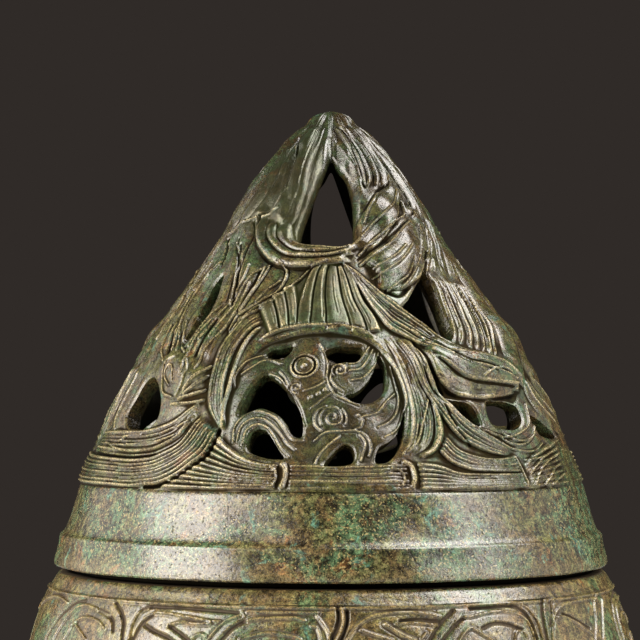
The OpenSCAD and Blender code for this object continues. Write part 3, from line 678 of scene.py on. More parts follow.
def cut_holes(bm, on_edge, distance):
    """Takes out the faces that lie in a smoke hole, and splits those that its edge crosses."""
    gone = []
    for face in bm.faces[:]:
        side = [0 if on_edge[v.index] else (1 if distance[v.index] > 0 else -1) for v in face.verts]
        if min(side) >= 0 and max(side) > 0:
            continue
        if min(side) < 0 < max(side):
            edge_verts = [v for v, s in zip(face.verts, side) if s == 0]
            if len(edge_verts) == 2:
                inner = [v for v, s in zip(face.verts, side) if s < 0]
                made, _ = bmesh.utils.face_split(face, edge_verts[0], edge_verts[1])
                gone.append(made if inner[0] in made.verts else face)
                continue
        gone.append(face)
    bmesh.ops.delete(bm, geom=gone, context="FACES")


def thin_inner_wall(bm, spot, whole):
    """Leaves the smooth inner wall only every fourth line of the fine outer grid."""
    block = 4
    spare = []
    for edge in bm.edges:
        a, b = edge.verts
        if a.co.z > wall_level or b.co.z > wall_level or a[spot] < 0 or b[spot] < 0:
            continue
        (ra, ca), (rb, cb) = divmod(a[spot], grid_row), divmod(b[spot], grid_row)
        if (ra if ra == rb else ca) % block == 0:
            continue
        r0, c0 = min(ra, rb) // block * block, min(ca, cb) // block * block
        if whole[r0:r0 + block + 1, c0:c0 + block + 1].all():
            spare.append(edge)
    bmesh.ops.dissolve_edges(bm, edges=spare, use_verts=True, use_face_split=False)


def bend(bm, carving, wall, turned):
    """Bends the flat sheet round its outline with relief, wear and painted shade; says which corners meet
    at the tip.
    """
    # The inner walls of the holes are painted dark and dull, as shade inside them
    inner_wall_shade, inner_dull_and_shade = -0.09, 1.0
    flat = np.array([v.co for v in bm.verts])
    turn, run, inside = np.radians(flat[:, 0] + turned), flat[:, 1], flat[:, 2] < wall_level
    high = np.where(inside, -wall, carving.sample(carving.relief, flat[:, 0], run))
    z = carving.follow("z", run) + high * carving.follow("nz", run)
    tip = carving.follow("r", run) < 1e-6
    r = np.where(tip, 0, np.maximum(carving.follow("r", run) + high * carving.follow("nr", run), 0))
    places = np.stack([r * np.sin(turn), -r * np.cos(turn), z + seat_mm], axis=1) * MM
    proud = np.where(inside, inner_wall_shade, carving.sample(carving.proud, flat[:, 0], run))
    dull_and_shade = np.where(inside, inner_dull_and_shade, carving.sample(carving.dull_and_shade, flat[:, 0], run))
    layers = [bm.verts.layers.float.new(layer) for layer in ("proud", "dull_and_shade")]
    for v, place, *values in zip(bm.verts, places, proud, dull_and_shade):
        v.co = place
        for layer, value in zip(layers, values):
            v[layer] = value
    return tip


def carved_sheet(name, carving, turn_span, run_span, cells, wall, gap_lines=(), turned=0):
    """A grid whose corners near a hole's edge move onto it, pierced, thickened and bent round."""
    columns, rows = cells
    half_cell = 0.51
    wide, tall = turn_span[1] - turn_span[0], run_span[1] - run_span[0]
    bm = bmesh.new()
    bmesh.ops.create_grid(bm, x_segments=columns, y_segments=rows, size=1)
    flat = (np.array([v.co[:2] for v in bm.verts]) + 1) / 2
    column, row = np.rint(flat * cells).astype(int).T
    turn, run = turn_span[0] + wide * column / columns, run_span[0] + tall * row / rows
    distance, edge_turn, edge_run = to_gaps(carving, gap_lines, turn, run)
    k = np.interp(run, carving.slope, carving.mm_per_deg)
    across, upward = np.abs(edge_turn - turn) * k, np.abs(edge_run - run)
    size = np.hypot(across, upward) + 1e-9
    cell = across / size * wide / columns * k + upward / size * tall / rows
    on_edge = np.abs(distance) <= half_cell * cell
    turn, run = np.where(on_edge, edge_turn, turn), np.where(on_edge, edge_run, run)
    plain = ~on_edge & (distance > 0)
    whole = np.zeros((rows + 1, columns + 1), bool)
    whole[row, column] = plain
    spot = bm.verts.layers.int.new("spot")
    for v, t, s, i, j, good in zip(bm.verts, turn, run, row, column, plain):
        v.co = (t, s, 0)
        v[spot] = int(i) * grid_row + int(j) if good else -1
    bm.verts.index_update()
    cut_holes(bm, on_edge, distance)
    made = bmesh.ops.extrude_face_region(bm, geom=bm.faces[:], use_keep_orig=True)["geom"]
    bmesh.ops.translate(bm, vec=(0, 0, -1), verts=[g for g in made if isinstance(g, bmesh.types.BMVert)])
    thin_inner_wall(bm, spot, whole)
    tip = bend(bm, carving, wall, turned)
    bmesh.ops.remove_doubles(bm, verts=[v for v, t in zip(bm.verts[:], tip) if t], dist=weld_m)
    bm.verts.layers.int.remove(bm.verts.layers.int["spot"])
    bmesh.ops.recalc_face_normals(bm, faces=bm.faces)
    return finished_piece(name, bm)


def finished_piece(name, bm, crease=55):
    """The shape as a piece that shades smoothly up to its creases."""
    mesh = bpy.data.meshes.new(name)
    bm.to_mesh(mesh)
    bm.free()
    mesh.polygons.foreach_set("use_smooth", [True] * len(mesh.polygons))
    mesh.set_sharp_from_angle(angle=math.radians(crease))
    piece = bpy.data.objects.new(name, mesh)
    bpy.context.scene.collection.objects.link(piece)
    return piece


# Courses of the hills: bottom, top, and cells of a sheet in front, at the side and at the back
lid_wall, sheet_deg, first_deg = 3.0, 45, -97
courses = [
    ("lower", hills_low, lower_top, (320, 225), (240, 180), (190, 145)),
    ("middle", lower_top, middle_top, (224, 180), (170, 140), (136, 116)),
    ("upper", middle_top, hills_top, (84, 210), (72, 180), (60, 150)),
]
lid_pieces = []
for n in range(1, 5):
    turns = (first_deg + sheet_deg * (n - 1), first_deg + sheet_deg * n)
    for course, bottom, top, fine, side, back in courses:
        rise = (float(carving.up(bottom)), float(carving.up(top)))
        front = fine if n in (2, 3) else side
        for face, cells, turned in [("front", front, 0), ("back", back, half_round)]:
            name = f"{course}_hills_{face}_{n}"
            lid_pieces.append(carved_sheet(name, carving, turns, rise, cells, lid_wall, gap_lines, turned))

# Turned pieces


def lathe(name, section, steps, crease, lumps, seed):
    """A closed section spun once round: radius and height in mm, and how proud or hollow a corner is, where
    notes below 0 paint patina in creases and shade on inner faces and under the lid's band.
    """
    bm = bmesh.new()
    layer = bm.verts.layers.float.new("proud")
    verts = []
    for point in section:
        verts.append(bm.verts.new((point[0] * MM, 0, point[1] * MM)))
        verts[-1][layer] = point[2] if len(point) > 2 else 0.0
    edges = [bm.edges.new((a, b)) for a, b in zip(verts, verts[1:] + verts[:1])]
    bmesh.ops.spin(bm, geom=verts + edges, cent=(0, 0, 0), axis=(0, 0, 1), angle=2 * math.pi, steps=steps,
                   use_merge=True)
    bmesh.ops.remove_doubles(bm, verts=bm.verts, dist=weld_m)
    bmesh.ops.recalc_face_normals(bm, faces=bm.faces)
    # Low waves of the casting: how many go round, how they lean with height, and where they start
    chance = np.random.default_rng(seed)
    wave_count = 9
    waves = []
    for _ in range(wave_count):
        waves.append((int(chance.integers(2, 23)), chance.uniform(80, 420), chance.uniform(0, 6.3)))
    for v in bm.verts:
        a = math.atan2(v.co.y, v.co.x)
        swing = sum(math.sin(n * a + v.co.z * f + p) for n, f, p in waves) / math.sqrt(wave_count)
        grow = 1 + lumps * MM * swing / math.hypot(v.co.x, v.co.y)
        v.co.x *= grow
        v.co.y *= grow
    return finished_piece(name, bm, crease)


def arc(cx, cz, rx, rz, start, end, count):
    """Points along part of an ellipse, from one angle in degrees to another."""
    return [(cx + rx * math.cos(math.radians(a)), cz + rz * math.sin(math.radians(a)))
            for a in np.linspace(start, end, count)]


def raised(section, lift):
    """A section moved up, with its notes on wear."""
    return [(p[0], p[1] + lift, *p[2:]) for p in section]


lid_r = frame_mm("hill_lid", 1, 0)
# Notes below 0 on the band's underside and inside paint shade inside the lid
band_section = [
    (45.2, 0.0, -0.2), (49.3, 0.0, -0.1), (49.72, 0.1, 0.0), (49.95, 0.35, 0.11), (lid_r, 0.8, 0.13),
    (49.9, 1.5, 0.12), (49.68, 2.3, 0.08), (49.45, 3.2), (49.3, 4.0), (49.22, 4.7), (49.2, 5.2, -0.02),
    (49.17, 5.5, 0.03), (49.05, 5.68, 0.08), (48.75, 5.88, 0.06), (48.4, 6.2, 0.05), (48.05, 6.8, 0.06),
    (47.65, 7.8, 0.03), (47.1, 9.2), (46.6, 10.8), (46.1, 12.4), (45.72, 13.7), (45.55, 14.2, 0.05),
    (45.3, 14.5, 0.05), (44.9, 14.75, -0.2), (42.5, 14.75, -0.3), (43.6, 11.0, -0.2), (45.2, 6.4, -0.2),
]
band = lathe("lid_band", raised(band_section, seat_mm), 300, crease=30, lumps=0.16, seed=3)
lid_pieces.append(band)

# Bowl, stem and foot, all bored for the rivet
bore_r = 3.2
belly_r, belly_z, belly_deep, bowl_wall = frame_mm("bowl", 1, 0), -26, 36, 2.6
lip_top, bowl_foot = above_seat("bowl", 1), above_seat("bowl", 0)
shoulder_in, shoulder_up = 6.2, 24.9


def bowl_radius(z):
    """The bowl's outside above its belly."""
    return belly_r - shoulder_in * ((z - belly_z) / shoulder_up) ** 2


# Cast frieze of the bowl: flat bands between cut lines and thin raised lines, over half the round.
# Heights are below the lid's seat. The lower half, out of the picture, is the upper one turned over.
frieze_low, frieze_high = -22.0, -3.3
frieze_middle = (frieze_low + frieze_high) / 2
frieze_wall = 1.5
frieze_heights = np.linspace(frieze_low, frieze_high, 9)
frieze_outline = turned_outline(frieze_heights, [bowl_radius(z) for z in frieze_heights], step=0.05)
frieze = Carving(frieze_outline, half_round, step_deg=0.1, step_mm=0.1, seed=11)
frieze.unevenness(wavelength=5, high=0.07)


def turned_over(points):
    return [(t, 2 * frieze_middle - z) for t, z in points]


cut_lines = [
    [(-66.4, -12.6), (-66.1, -12), (-63.9, -9.1), (-60.8, -6.5), (-57.3, -4.8), (-54, -4.4)],
    [(-44.6, -4.1), (-42.2, -5.7), (-40.9, -7.3), (-40.6, -8.7), (-40.4, -10.1), (-40.3, -12.6)],
    [(-48.7, -5.5), (-45.2, -6.3), (-43.8, -7.2), (-43.2, -8.6)],
    [(-38.6, -12.6), (-37.8, -9.9), (-37.2, -8.3), (-36, -6.6), (-34.5, -5.6)],
    [(-37.2, -4.9), (-35.1, -4.3), (-32.7, -4.3), (-28.9, -4.2), (-25.6, -4.3), (-21.8, -4.4),
     (-17.1, -4.6)],
    [(-30.2, -7.1), (-27.8, -8.2), (-25.8, -9.2)],
    [(-35.8, -7.2), (-33.2, -8.1), (-30.2, -8.9), (-27.4, -10.2)],
    [(-22.2, -12.6), (-19.7, -9.1), (-18.9, -8.3), (-17.7, -7.1), (-16.4, -6.3), (-15.5, -5.9)],
    [(1.2, -3.6), (1.4, -4.9), (0.9, -6.9), (0, -8.6), (-0.4, -12.6)],
    [(2.9, -4.2), (2.7, -6.1), (2.2, -7.4), (1.6, -8.8), (1.6, -12.6)],
    [(12.4, -5.8), (15.6, -5.6), (19.6, -6)],
    [(17.6, -12.6), (19.8, -9.1), (21.5, -7.6), (23.2, -6.3), (24.4, -5.6)],
    [(15.2, -12.6), (17.5, -9), (18.9, -7.3), (20.9, -5.6), (22.6, -4.5)],
    [(28.1, -7.4), (30.1, -6.8), (32.5, -6.8), (34.9, -7.4), (36.5, -8)],
    [(43.6, -3.6), (42.7, -5.6), (42.3, -7.6), (42.1, -10.2), (42.1, -12.6)],
    [(48.4, -6.1), (51.5, -7.1), (55.8, -8.9)],
    [(26.3, -4.2), (30.5, -4.1), (34.7, -4.1), (37, -4.5), (38.3, -5.5), (39, -7), (39.4, -8.8),
     (39.5, -12.6)],
    [(68.5, -12.6), (69, -8.4), (71.5, -5.8), (76, -4.7), (84, -4.6), (90, -5), (94, -6.4), (97, -9),
     (98, -12.6)],
    [(74, -8.4), (79, -7.4), (84, -8), (88, -9.6)],
]
raised_lines = [
    [(-62.4, -12.6), (-62.2, -11.7), (-61, -9.5), (-58.9, -7.2), (-56.5, -5.8), (-53.6, -5.1),
     (-50.4, -5.3), (-47.7, -5.7), (-45.2, -6.2)],
    [(-56.6, -8.7), (-54.5, -7.6), (-52.2, -7), (-49.3, -7.1), (-47, -7.6), (-45.6, -8.4)],
    [(-56.2, -8.7), (-57.9, -11.3)], [(-55.1, -8.2), (-51.9, -9.6), (-49.7, -10.7)],
    [(-81.1, -6.9), (-75.1, -5.4), (-69.6, -4.6), (-65, -4.6), (-60.9, -5.2)],
    [(-39.3, -12.6), (-38.6, -9), (-38.5, -6.9), (-37.7, -5.3), (-35.7, -4.5)],
    [(-36.1, -6.2), (-34.1, -5.3), (-31.9, -5.2), (-28, -5.5), (-25.3, -5.7), (-22.7, -6), (-20.2, -6.1)],
    [(-30.5, -7), (-27.7, -6.5), (-25.1, -6.6), (-21.9, -6.4)],
    [(-25, -9.3), (-24.7, -8.6), (-23.9, -8.2), (-22.7, -8.4), (-22.4, -9)],
    [(-15.5, -5.9), (-13.2, -5.5), (-11, -5.4), (-8.7, -5.3), (-6.4, -5.2), (-4.6, -5.7)],
    [(-16.1, -8.8), (-14.1, -8.2), (-11.9, -7.7), (-10.1, -7.6), (-8.5, -7.8), (-6.3, -8.2), (-5.2, -8.6)],
    [(-2.6, -4.9), (-1.7, -5.9), (-0.6, -7.4), (-0.2, -8.8)],
    [(-3.5, -6.5), (-2.6, -6.7), (-2.1, -7.6), (-1.8, -8.8), (-1.8, -12.6)],
    [(-24, -12.6), (-22.1, -9.2), (-20.7, -7.4), (-19.1, -6), (-16.6, -5.1)],
    [(-15.3, -4.4), (-11.1, -4.4), (-6.5, -4.4), (-2.4, -4.4)],
    [(2.6, -12.6), (2.9, -8.8), (3.8, -7.5), (5.1, -6.1), (7, -5.2), (9.3, -4.7), (12.5, -4.5),
     (15.8, -4.6), (18.1, -4.9), (20, -5.4)],
    [(5.1, -7.1), (6.8, -7.7), (9, -8.3), (10.7, -8.8)],
    [(11.4, -6.4), (13.3, -6.1), (15.6, -6.2), (19.3, -6.6)], [(15.7, -8.8), (17, -7.7)],
    [(22.8, -6.3), (23.9, -5.6), (25.9, -5.5), (28.7, -5.1), (31.5, -4.9), (34.3, -5.1), (37, -5.8),
     (38.2, -6.7), (38.8, -8.2), (39, -9.8)],
    [(20.8, -12.6), (22.9, -9.2), (24.2, -7.9), (25.3, -7.3), (27.8, -8.4), (29.7, -9.5)],
    [(34.3, -9.5), (34.9, -8.4), (36.7, -8.3), (37.2, -9.3)],
    [(38, -4), (39.1, -4.6), (40.1, -5.8), (40.8, -7.3), (40.8, -8.9), (40.9, -12.6)],
    [(46, -3.9), (44.8, -6.7), (43.4, -10.2), (43.4, -12.6)],
    [(44.3, -7.7), (46.3, -5.8), (49.3, -4.7), (52.4, -4.4), (57.5, -4.3), (62.1, -4.4)],
    [(46.3, -6.6), (48.9, -6.6), (51.9, -7.8), (54.1, -9.1), (56.3, -10.1)],
    [(63.3, -3.9), (60.4, -5.6), (59.3, -7.6), (56.4, -11.2)], [(65.3, -4.9), (62.4, -7.9), (59.6, -11.5)],
    [(70.5, -12.6), (71, -9), (73, -6.8), (77, -5.8), (83, -5.6), (89, -6.2), (94, -8)],
    [(73.5, -8.8), (78, -8), (83, -8.8), (87, -10.6)],
]
thick_lines = [
    [(9.6, -6.3), (10.9, -7.1), (12.6, -8.1), (14.8, -8.9)],
    [(1.9, -3.9), (2.2, -4.9), (1.9, -6.9), (0.9, -8.8), (0.6, -12.6)],
]
for carve, lines, half, size in [(frieze.groove, cut_lines, 0.42, 0.5),
                                 (frieze.ridge, raised_lines, 0.26, 0.38),
                                 (frieze.ridge, thick_lines, 0.38, 0.5)]:
    for points in lines:
        carve(points, half, size)
        carve(turned_over(points), half, size)
for turn in (-50, -10, 9, 31, 52, 80):
    frieze.spiral((turn, frieze_middle), 1.9, turns=1.7, start=turn, half=0.26, high=0.38)
all_round = list(range(-96, 97, 8))
top_line, bottom_line = -3.75, -21.3
frieze.ridge([(t, top_line) for t in all_round], 0.26, 0.34)
frieze.strand(frieze.line([(t, bottom_line) for t in all_round]), 0.5, lift=0.0, crown=0.4, fade=0.001)
frieze.finish()

bowl_pieces = []
for n, turns in ((1, (-front_half, 0)), (2, (0, front_half))):
    for face, cells, turned in [("front", (560, 128), 0), ("back", (300, 80), half_round)]:
        rise = (0, frieze.slope[-1])
        name = f"bowl_frieze_{face}_{n}"
        bowl_pieces.append(carved_sheet(name, frieze, turns, rise, cells, frieze_wall, turned=turned))

# Notes far below 0 on the ledge under the lid's band are a painted shadow; those inside the bowl and its
# bore are painted shade
bowl_section = [
    (42.7, lip_top, 0.1), (44.4, lip_top, 0.1), (44.75, 5.6, 0.1), (44.8, 4.0), (44.8, 0.5, -0.2),
    (45.2, 0.02, -0.5), (46.7, 0.0, -0.6), (46.6, -0.8, -0.6), (46.9, -0.95, -0.6), (48.6, -0.98, -0.3),
    (49.2, -1.12, -0.03), (49.65, -1.5, 0.0), (50.05, -2.1), (50.45, -2.8), (50.82, -3.3), (49.2, -3.35),
]
behind_frieze = 1.65
bowl_section += [(bowl_radius(z) - behind_frieze, z, -0.3) for z in (-6, -10, -14, -18, -21.95)]
bowl_section += [(bowl_radius(frieze_low), frieze_low), (55.95, -23.5), (belly_r, belly_z)]
bowl_section += arc(0, belly_z, belly_r, belly_deep, -3, -73.5, 34)
bowl_section += [
    (15.0, -61.2, -0.2), (15.0, bowl_foot, -0.2), (bore_r, bowl_foot, -0.4), (bore_r, -58.0, -0.4),
]
bowl_section += [(10.8, -58.0, -0.4), (11.2, -58.3, -0.5)]
inner_belly = arc(0, belly_z, belly_r - bowl_wall, belly_deep - bowl_wall, -77, -1, 26)
bowl_section += [(r, z, -0.45) for r, z in inner_belly]
bowl_section += [(bowl_radius(z) - bowl_wall, z, -0.45) for z in (-20, -15, -10, -5.6)]
bowl_section += [(43.6, -3.4, -0.45), (42.4, -2.4, -0.4), (42.4, 5.7, -0.1)]
bowl_pieces.append(lathe("bowl_body", raised(bowl_section, seat_mm), 220, crease=35, lumps=0.14, seed=5))

stem_r, stem_low, stem_high = frame_mm("stem", 1, 0), frame_mm("stem", 0, 2), frame_mm("stem", 1, 2)
stem_section = [
    (bore_r, stem_low, -0.4), (15.7, stem_low, -0.2), (stem_r, 30.3, 0.2), (stem_r, 32.1, 0.25),
    (15.7, 32.5, 0.2), (14.75, 32.55, -0.25),
]
stem_section += arc(14.75, 37.5, 5.75, 5.0, -95, -176, 10)[1:]
stem_section += [(9.0, 38.6), (9.5, 39.0, 0.2), (9.9, 39.5, 0.25), (9.5, 40.0, 0.1), (9.1, 40.4, -0.3)]
neck_r, knop_out, knop_z = 9, 6, 47
for a in np.linspace(14, 166, 19):
    c, s = math.cos(math.radians(a)), math.sin(math.radians(a))
    stem_section.append((neck_r + knop_out * s, knop_z - knop_out * c, 0.1 if 70 < a < 110 else 0.0))
stem_section += [(9.1, 53.6, -0.3), (9.5, 54.0, 0.1), (9.9, 54.5, 0.25), (9.5, 55.0, 0.2), (9.0, 55.4)]
stem_section += arc(13.75, 56.5, 4.75, 5.0, 176, 95, 10)[:-1]
stem_section += [
    (13.75, 61.45, -0.25), (14.7, 61.5, 0.2), (15.0, 61.9, 0.25), (15.0, 63.7, 0.1),
    (14.8, stem_high, -0.2), (bore_r, stem_high, -0.4),
]
stem_piece = lathe("stem_knop", stem_section, 128, crease=30, lumps=0.12, seed=6)

foot_r, rim_r, crown_z = frame_mm("foot", 1, 0), 42.6, frame_mm("foot", 1, 2)
flare_out, flare_down, inner_out, inner_down = 25.6, 24, 28.2, 26.6
bead_high, bead_deg, bead_turns = 0.45, 1.1, (14, 19, 70, 75)
foot_section = [(bore_r, crown_z, -0.3), (16.8, crown_z, -0.2)]
for a in np.linspace(2, 88, 60):
    bead = sum(bead_high * math.exp(-((a - turn) / bead_deg) ** 2) for turn in bead_turns)
    c, s = math.cos(math.radians(a)), math.sin(math.radians(a))
    r, z = rim_r - (flare_out - bead) * c, crown_z - (flare_down - bead) * s
    foot_section.append((r, z, bead * 0.6 - 0.04))
foot_section += [
    (rim_r, 6.1, -0.3), (43.4, 6.05, 0.1), (43.9, 5.8, 0.3), (foot_r, 5.3, 0.25), (43.9, 3.0),
    (foot_r, 0.5, 0.2), (43.7, 0.0, 0.2), (40.2, 0.0, 0.1), (40.0, 0.2, 0.0), (40.0, 3.4, -0.4),
]
foot_section += [(r, z, -0.4) for r, z in arc(rim_r, crown_z, -inner_out, -inner_down, 83, 8.2, 24)]
foot_section += [(14.2, 26.5, -0.4), (bore_r, 26.5, -0.4)]
foot_piece = lathe("foot_casting", foot_section, 200, crease=30, lumps=0.14, seed=8)

# Finishes


class Finish:
    """Small helper for procedural finishes on object coordinates."""

    def __init__(self, name):
        self.material = bpy.data.materials.new(name)
        self.material.use_nodes = True
        self.tree = self.material.node_tree
        self.shader = self.tree.nodes["Principled BSDF"]
        self.where = self.tree.nodes.new("ShaderNodeTexCoord").outputs["Object"]

    def node(self, kind, **inputs):
        n = self.tree.nodes.new(kind)
        for key, value in inputs.items():
            self.put(n.inputs[key], value)
        return n

    def put(self, socket, value):
        if isinstance(value, bpy.types.NodeSocket):
            self.tree.links.new(value, socket)
        else:
            socket.default_value = value

    def noise(self, scale, detail=4.0, rough=0.55, warp=0.0):
        n = self.node("ShaderNodeTexNoise", Vector=self.where, Scale=scale, Detail=detail, Roughness=rough,
                      Distortion=warp)
        return n.outputs["Fac"]

    def spread(self, value, low, high, to_low=0.0, to_high=1.0):
        n = self.tree.nodes.new("ShaderNodeMapRange")
        n.interpolation_type = "SMOOTHSTEP"
        for i, v in enumerate([value, low, high, to_low, to_high]):
            self.put(n.inputs[i], v)
        return n.outputs[0]

    def maths(self, kind, a, b):
        n = self.tree.nodes.new("ShaderNodeMath")
        n.operation = kind
        self.put(n.inputs[0], a)
        self.put(n.inputs[1], b)
        return n.outputs[0]

    def times(self, *values):
        return functools.reduce(lambda a, b: self.maths("MULTIPLY", a, b), values)

    def most(self, *values):
        return functools.reduce(lambda a, b: self.maths("MAXIMUM", a, b), values)

    def mix(self, share, a, b, blend="MIX"):
        n = self.tree.nodes.new("ShaderNodeMix")
        n.data_type, n.blend_type = "RGBA", blend
        for key, kind, value in [("Factor", "VALUE", share), ("A", "RGBA", a), ("B", "RGBA", b)]:
            socket = next(i for i in n.inputs if i.name == key and i.type == kind)
            self.put(socket, (*value, 1) if isinstance(value, tuple) else value)
        return next(o for o in n.outputs if o.type == "RGBA")

    def shade(self, colour, strength):
        """Colour made darker or lighter all over by a value."""
        return self.mix(1.0, colour, strength, "MULTIPLY")

    def stored(self, name):
        n = self.tree.nodes.new("ShaderNodeAttribute")
        n.attribute_name = name
        return n.outputs["Fac"]

    def bump(self, height, distance, strength, under):
        n = self.node("ShaderNodeBump", Height=height, Distance=distance, Strength=strength)
        if under is not None:
            self.put(n.inputs["Normal"], under)
        return n.outputs[0]


# The near-black of the deepest hollows is painted shade
pit_black, deep_shade_black, top_shade_black = (0.008, 0.008, 0.005), (0.006, 0.005, 0.003), (0.012, 0.010, 0.006)
# The dark olive of the window and the holes' inner walls is painted shade
bare_gold, recess_shade_olive, dull_green = (0.44, 0.36, 0.16), (0.020, 0.019, 0.008), (0.070, 0.085, 0.030)
# The top's dark colour is painted shade, laid on between these heights
top_shade_from, top_shade_to = (seat_mm + 42) * MM, (seat_mm + 74) * MM


def patinated_bronze(name, olive, brown, green, ridge, rust, teal, green_share, rust_share, teal_share,
                     wear, gold=0.3, unshaded_top=1.0, mottle=1.0, crevice_patina_and_shade=(0.016, 0.0105, 0.005), hollow_shade_metal=1.0):
    """Olive and brown metal under green, scale and rust: dark in its hollows as patina and painted shade,
    bare on what stands proud, and painted darker towards the top as shade where asked.
    """
    f = Finish(name)
    proud, dull_and_shade = f.stored("proud"), f.stored("dull_and_shade")
    broad = f.noise(75, 5, 0.62, 0.6)
    patches = f.noise(210, 5, 0.68, 0.8)
    stains = f.noise(190, 6, 0.7, 1.0)
    rusted = f.noise(150, 6, 0.72, 1.0)
    spots = f.noise(420, 4, 0.7, 0.5)
    crust = f.noise(1000, 4, 0.7)
    grain = f.noise(2300, 3, 0.7)
    specks = f.noise(2700, 2, 0.5)
    grit = f.noise(4200, 3, 0.75)

    # Patina
    colour = f.mix(f.spread(patches, 0.43, 0.57), brown, olive)
    verdigris = f.spread(broad, 0.56 - 0.16 * green_share, 0.64 - 0.16 * green_share)
    colour = f.mix(f.times(verdigris, f.spread(spots, 0.38, 0.52)), colour, green)
    scaly = f.spread(stains, 0.64 - 0.10 * teal_share, 0.70 - 0.10 * teal_share)
    colour = f.mix(f.times(scaly, 0.8), colour, teal)
    rusty = f.spread(rusted, 0.66 - 0.1 * rust_share, 0.72 - 0.1 * rust_share)
    colour = f.mix(f.times(rusty, 0.85), colour, rust)
    fine_mottle = f.spread(crust, 0.34, 0.66, 1 - 0.65 * mottle, 1 + 0.75 * mottle)
    broad_mottle = f.spread(spots, 0.36, 0.64, 1 - 0.4 * mottle, 1 + 0.45 * mottle)
    colour = f.shade(colour, f.times(fine_mottle, broad_mottle))
    colour = f.shade(colour, f.spread(grit, 0.36, 0.64, 0.45, 1.6))

    # Pits, bare specks and hollows
    pitted = f.spread(grain, 0.44, 0.34)
    colour = f.mix(f.times(pitted, 0.85), colour, pit_black)
    bare = f.times(f.spread(specks, 0.60, 0.65), f.spread(broad, 0.40, 0.54, 0.35 * gold, gold))
    colour = f.mix(bare, colour, bare_gold)
    # Hollows take crevice patina and painted shade; the deepest are painted near-black as shade
    hollow = f.spread(proud, -0.17, -0.02, 1.0, 0.0)
    deep = f.spread(proud, -0.55, -0.34, 1.0, 0.0)
    colour = f.mix(f.times(hollow, 0.9), colour, crevice_patina_and_shade)
    colour = f.mix(deep, colour, deep_shade_black)

    # Darker, duller places, with painted shade in the window, on the holes' inner walls and on the arch's
    # left side; worn ridges; painted shade over the top
    dull = f.spread(dull_and_shade, 1.0, 2.0)
    colour = f.mix(f.spread(dull_and_shade, 0.0, 1.0, 0.0, 0.45), colour, f.mix(dull, recess_shade_olive, dull_green))
    worn = f.times(f.spread(proud, 0.05, 0.16), f.spread(grit, 0.40, 0.60),
                   f.spread(stains, 0.40, 0.56, 0.3 * wear, wear))
    colour = f.mix(worn, colour, ridge)
    # Painted shade darkens the colour towards the top
    up = f.node("ShaderNodeSeparateXYZ", Vector=f.where).outputs["Z"]
    colour = f.mix(f.spread(up, top_shade_from, top_shade_to, 0.0, 1.0 - unshaded_top), colour, top_shade_black)
    f.put(f.shader.inputs["Base Color"], colour)

    # Hollows and pits take no grey sheen, which deepens the painted shade in the hollows, and dull places
    # lose part of theirs; stained, dull and shaded places are matt
    metal = f.most(f.times(hollow, hollow_shade_metal), deep, f.times(pitted, 0.8), f.times(dull, 0.45))
    f.put(f.shader.inputs["Metallic"], metal)
    stained = f.times(f.spread(stains, 0.52, 0.66), 0.35)
    matt = f.most(stained, pitted, hollow, f.spread(dull_and_shade, 0.0, 2.0, 0.0, 0.3))
    f.put(f.shader.inputs["Roughness"], f.spread(matt, 0.0, 1.0, 0.20, 0.66))
    f.shader.inputs["IOR"].default_value = 1.5
    f.shader.inputs["Specular IOR Level"].default_value = 1.0
    bumped = None
    for height, distance, strength in [(spots, 0.0005, 0.10), (crust, 0.00025, 0.25), (grain, 0.00012, 0.4),
                                       (grit, 0.00008, 0.35)]:
        bumped = f.bump(height, distance, strength, bumped)
    f.put(f.shader.inputs["Normal"], bumped)
    return f.material


# The lid is painted darker towards its top, as shade
lid_bronze = patinated_bronze(
    "lid bronze", olive=(0.076, 0.075, 0.026), brown=(0.072, 0.048, 0.018), green=(0.040, 0.066, 0.027),
    ridge=(0.58, 0.48, 0.25), rust=(0.13, 0.055, 0.018), teal=(0.045, 0.10, 0.065),
    green_share=0.45, rust_share=0.5, teal_share=0.4, wear=1.0, gold=0.15, unshaded_top=0.5, mottle=0.8)
band_bronze = patinated_bronze(
    "band bronze", olive=(0.078, 0.080, 0.030), brown=(0.078, 0.055, 0.023), green=(0.046, 0.080, 0.038),
    ridge=(0.30, 0.25, 0.12), rust=(0.13, 0.060, 0.020), teal=(0.045, 0.125, 0.088),
    green_share=0.6, rust_share=0.75, teal_share=0.65, wear=0.6, gold=0.8, mottle=1.25)
bowl_bronze = patinated_bronze(
    "bowl bronze", olive=(0.122, 0.104, 0.037), brown=(0.112, 0.076, 0.030), green=(0.060, 0.090, 0.038),
    ridge=(0.40, 0.29, 0.12), rust=(0.17, 0.085, 0.028), teal=(0.05, 0.13, 0.09),
    green_share=0.35, rust_share=0.7, teal_share=0.35, wear=0.9, gold=0.35,
    crevice_patina_and_shade=(0.050, 0.029, 0.011), hollow_shade_metal=0.55)
foot_bronze = patinated_bronze(
    "foot bronze", olive=(0.076, 0.077, 0.030), brown=(0.072, 0.050, 0.023), green=(0.048, 0.080, 0.040),
    ridge=(0.30, 0.24, 0.12), rust=(0.12, 0.055, 0.02), teal=(0.048, 0.12, 0.09),
    green_share=0.6, rust_share=0.5, teal_share=0.8, wear=0.7, gold=0.5)
burr_bronze = patinated_bronze(
    "sooty burr bronze", olive=(0.06, 0.050, 0.026), brown=(0.045, 0.034, 0.02), green=(0.045, 0.06, 0.036),
    ridge=(0.18, 0.13, 0.07), rust=(0.085, 0.042, 0.02), teal=(0.035, 0.075, 0.055),
    green_share=0.1, rust_share=0.4, teal_share=0.2, wear=0.5)
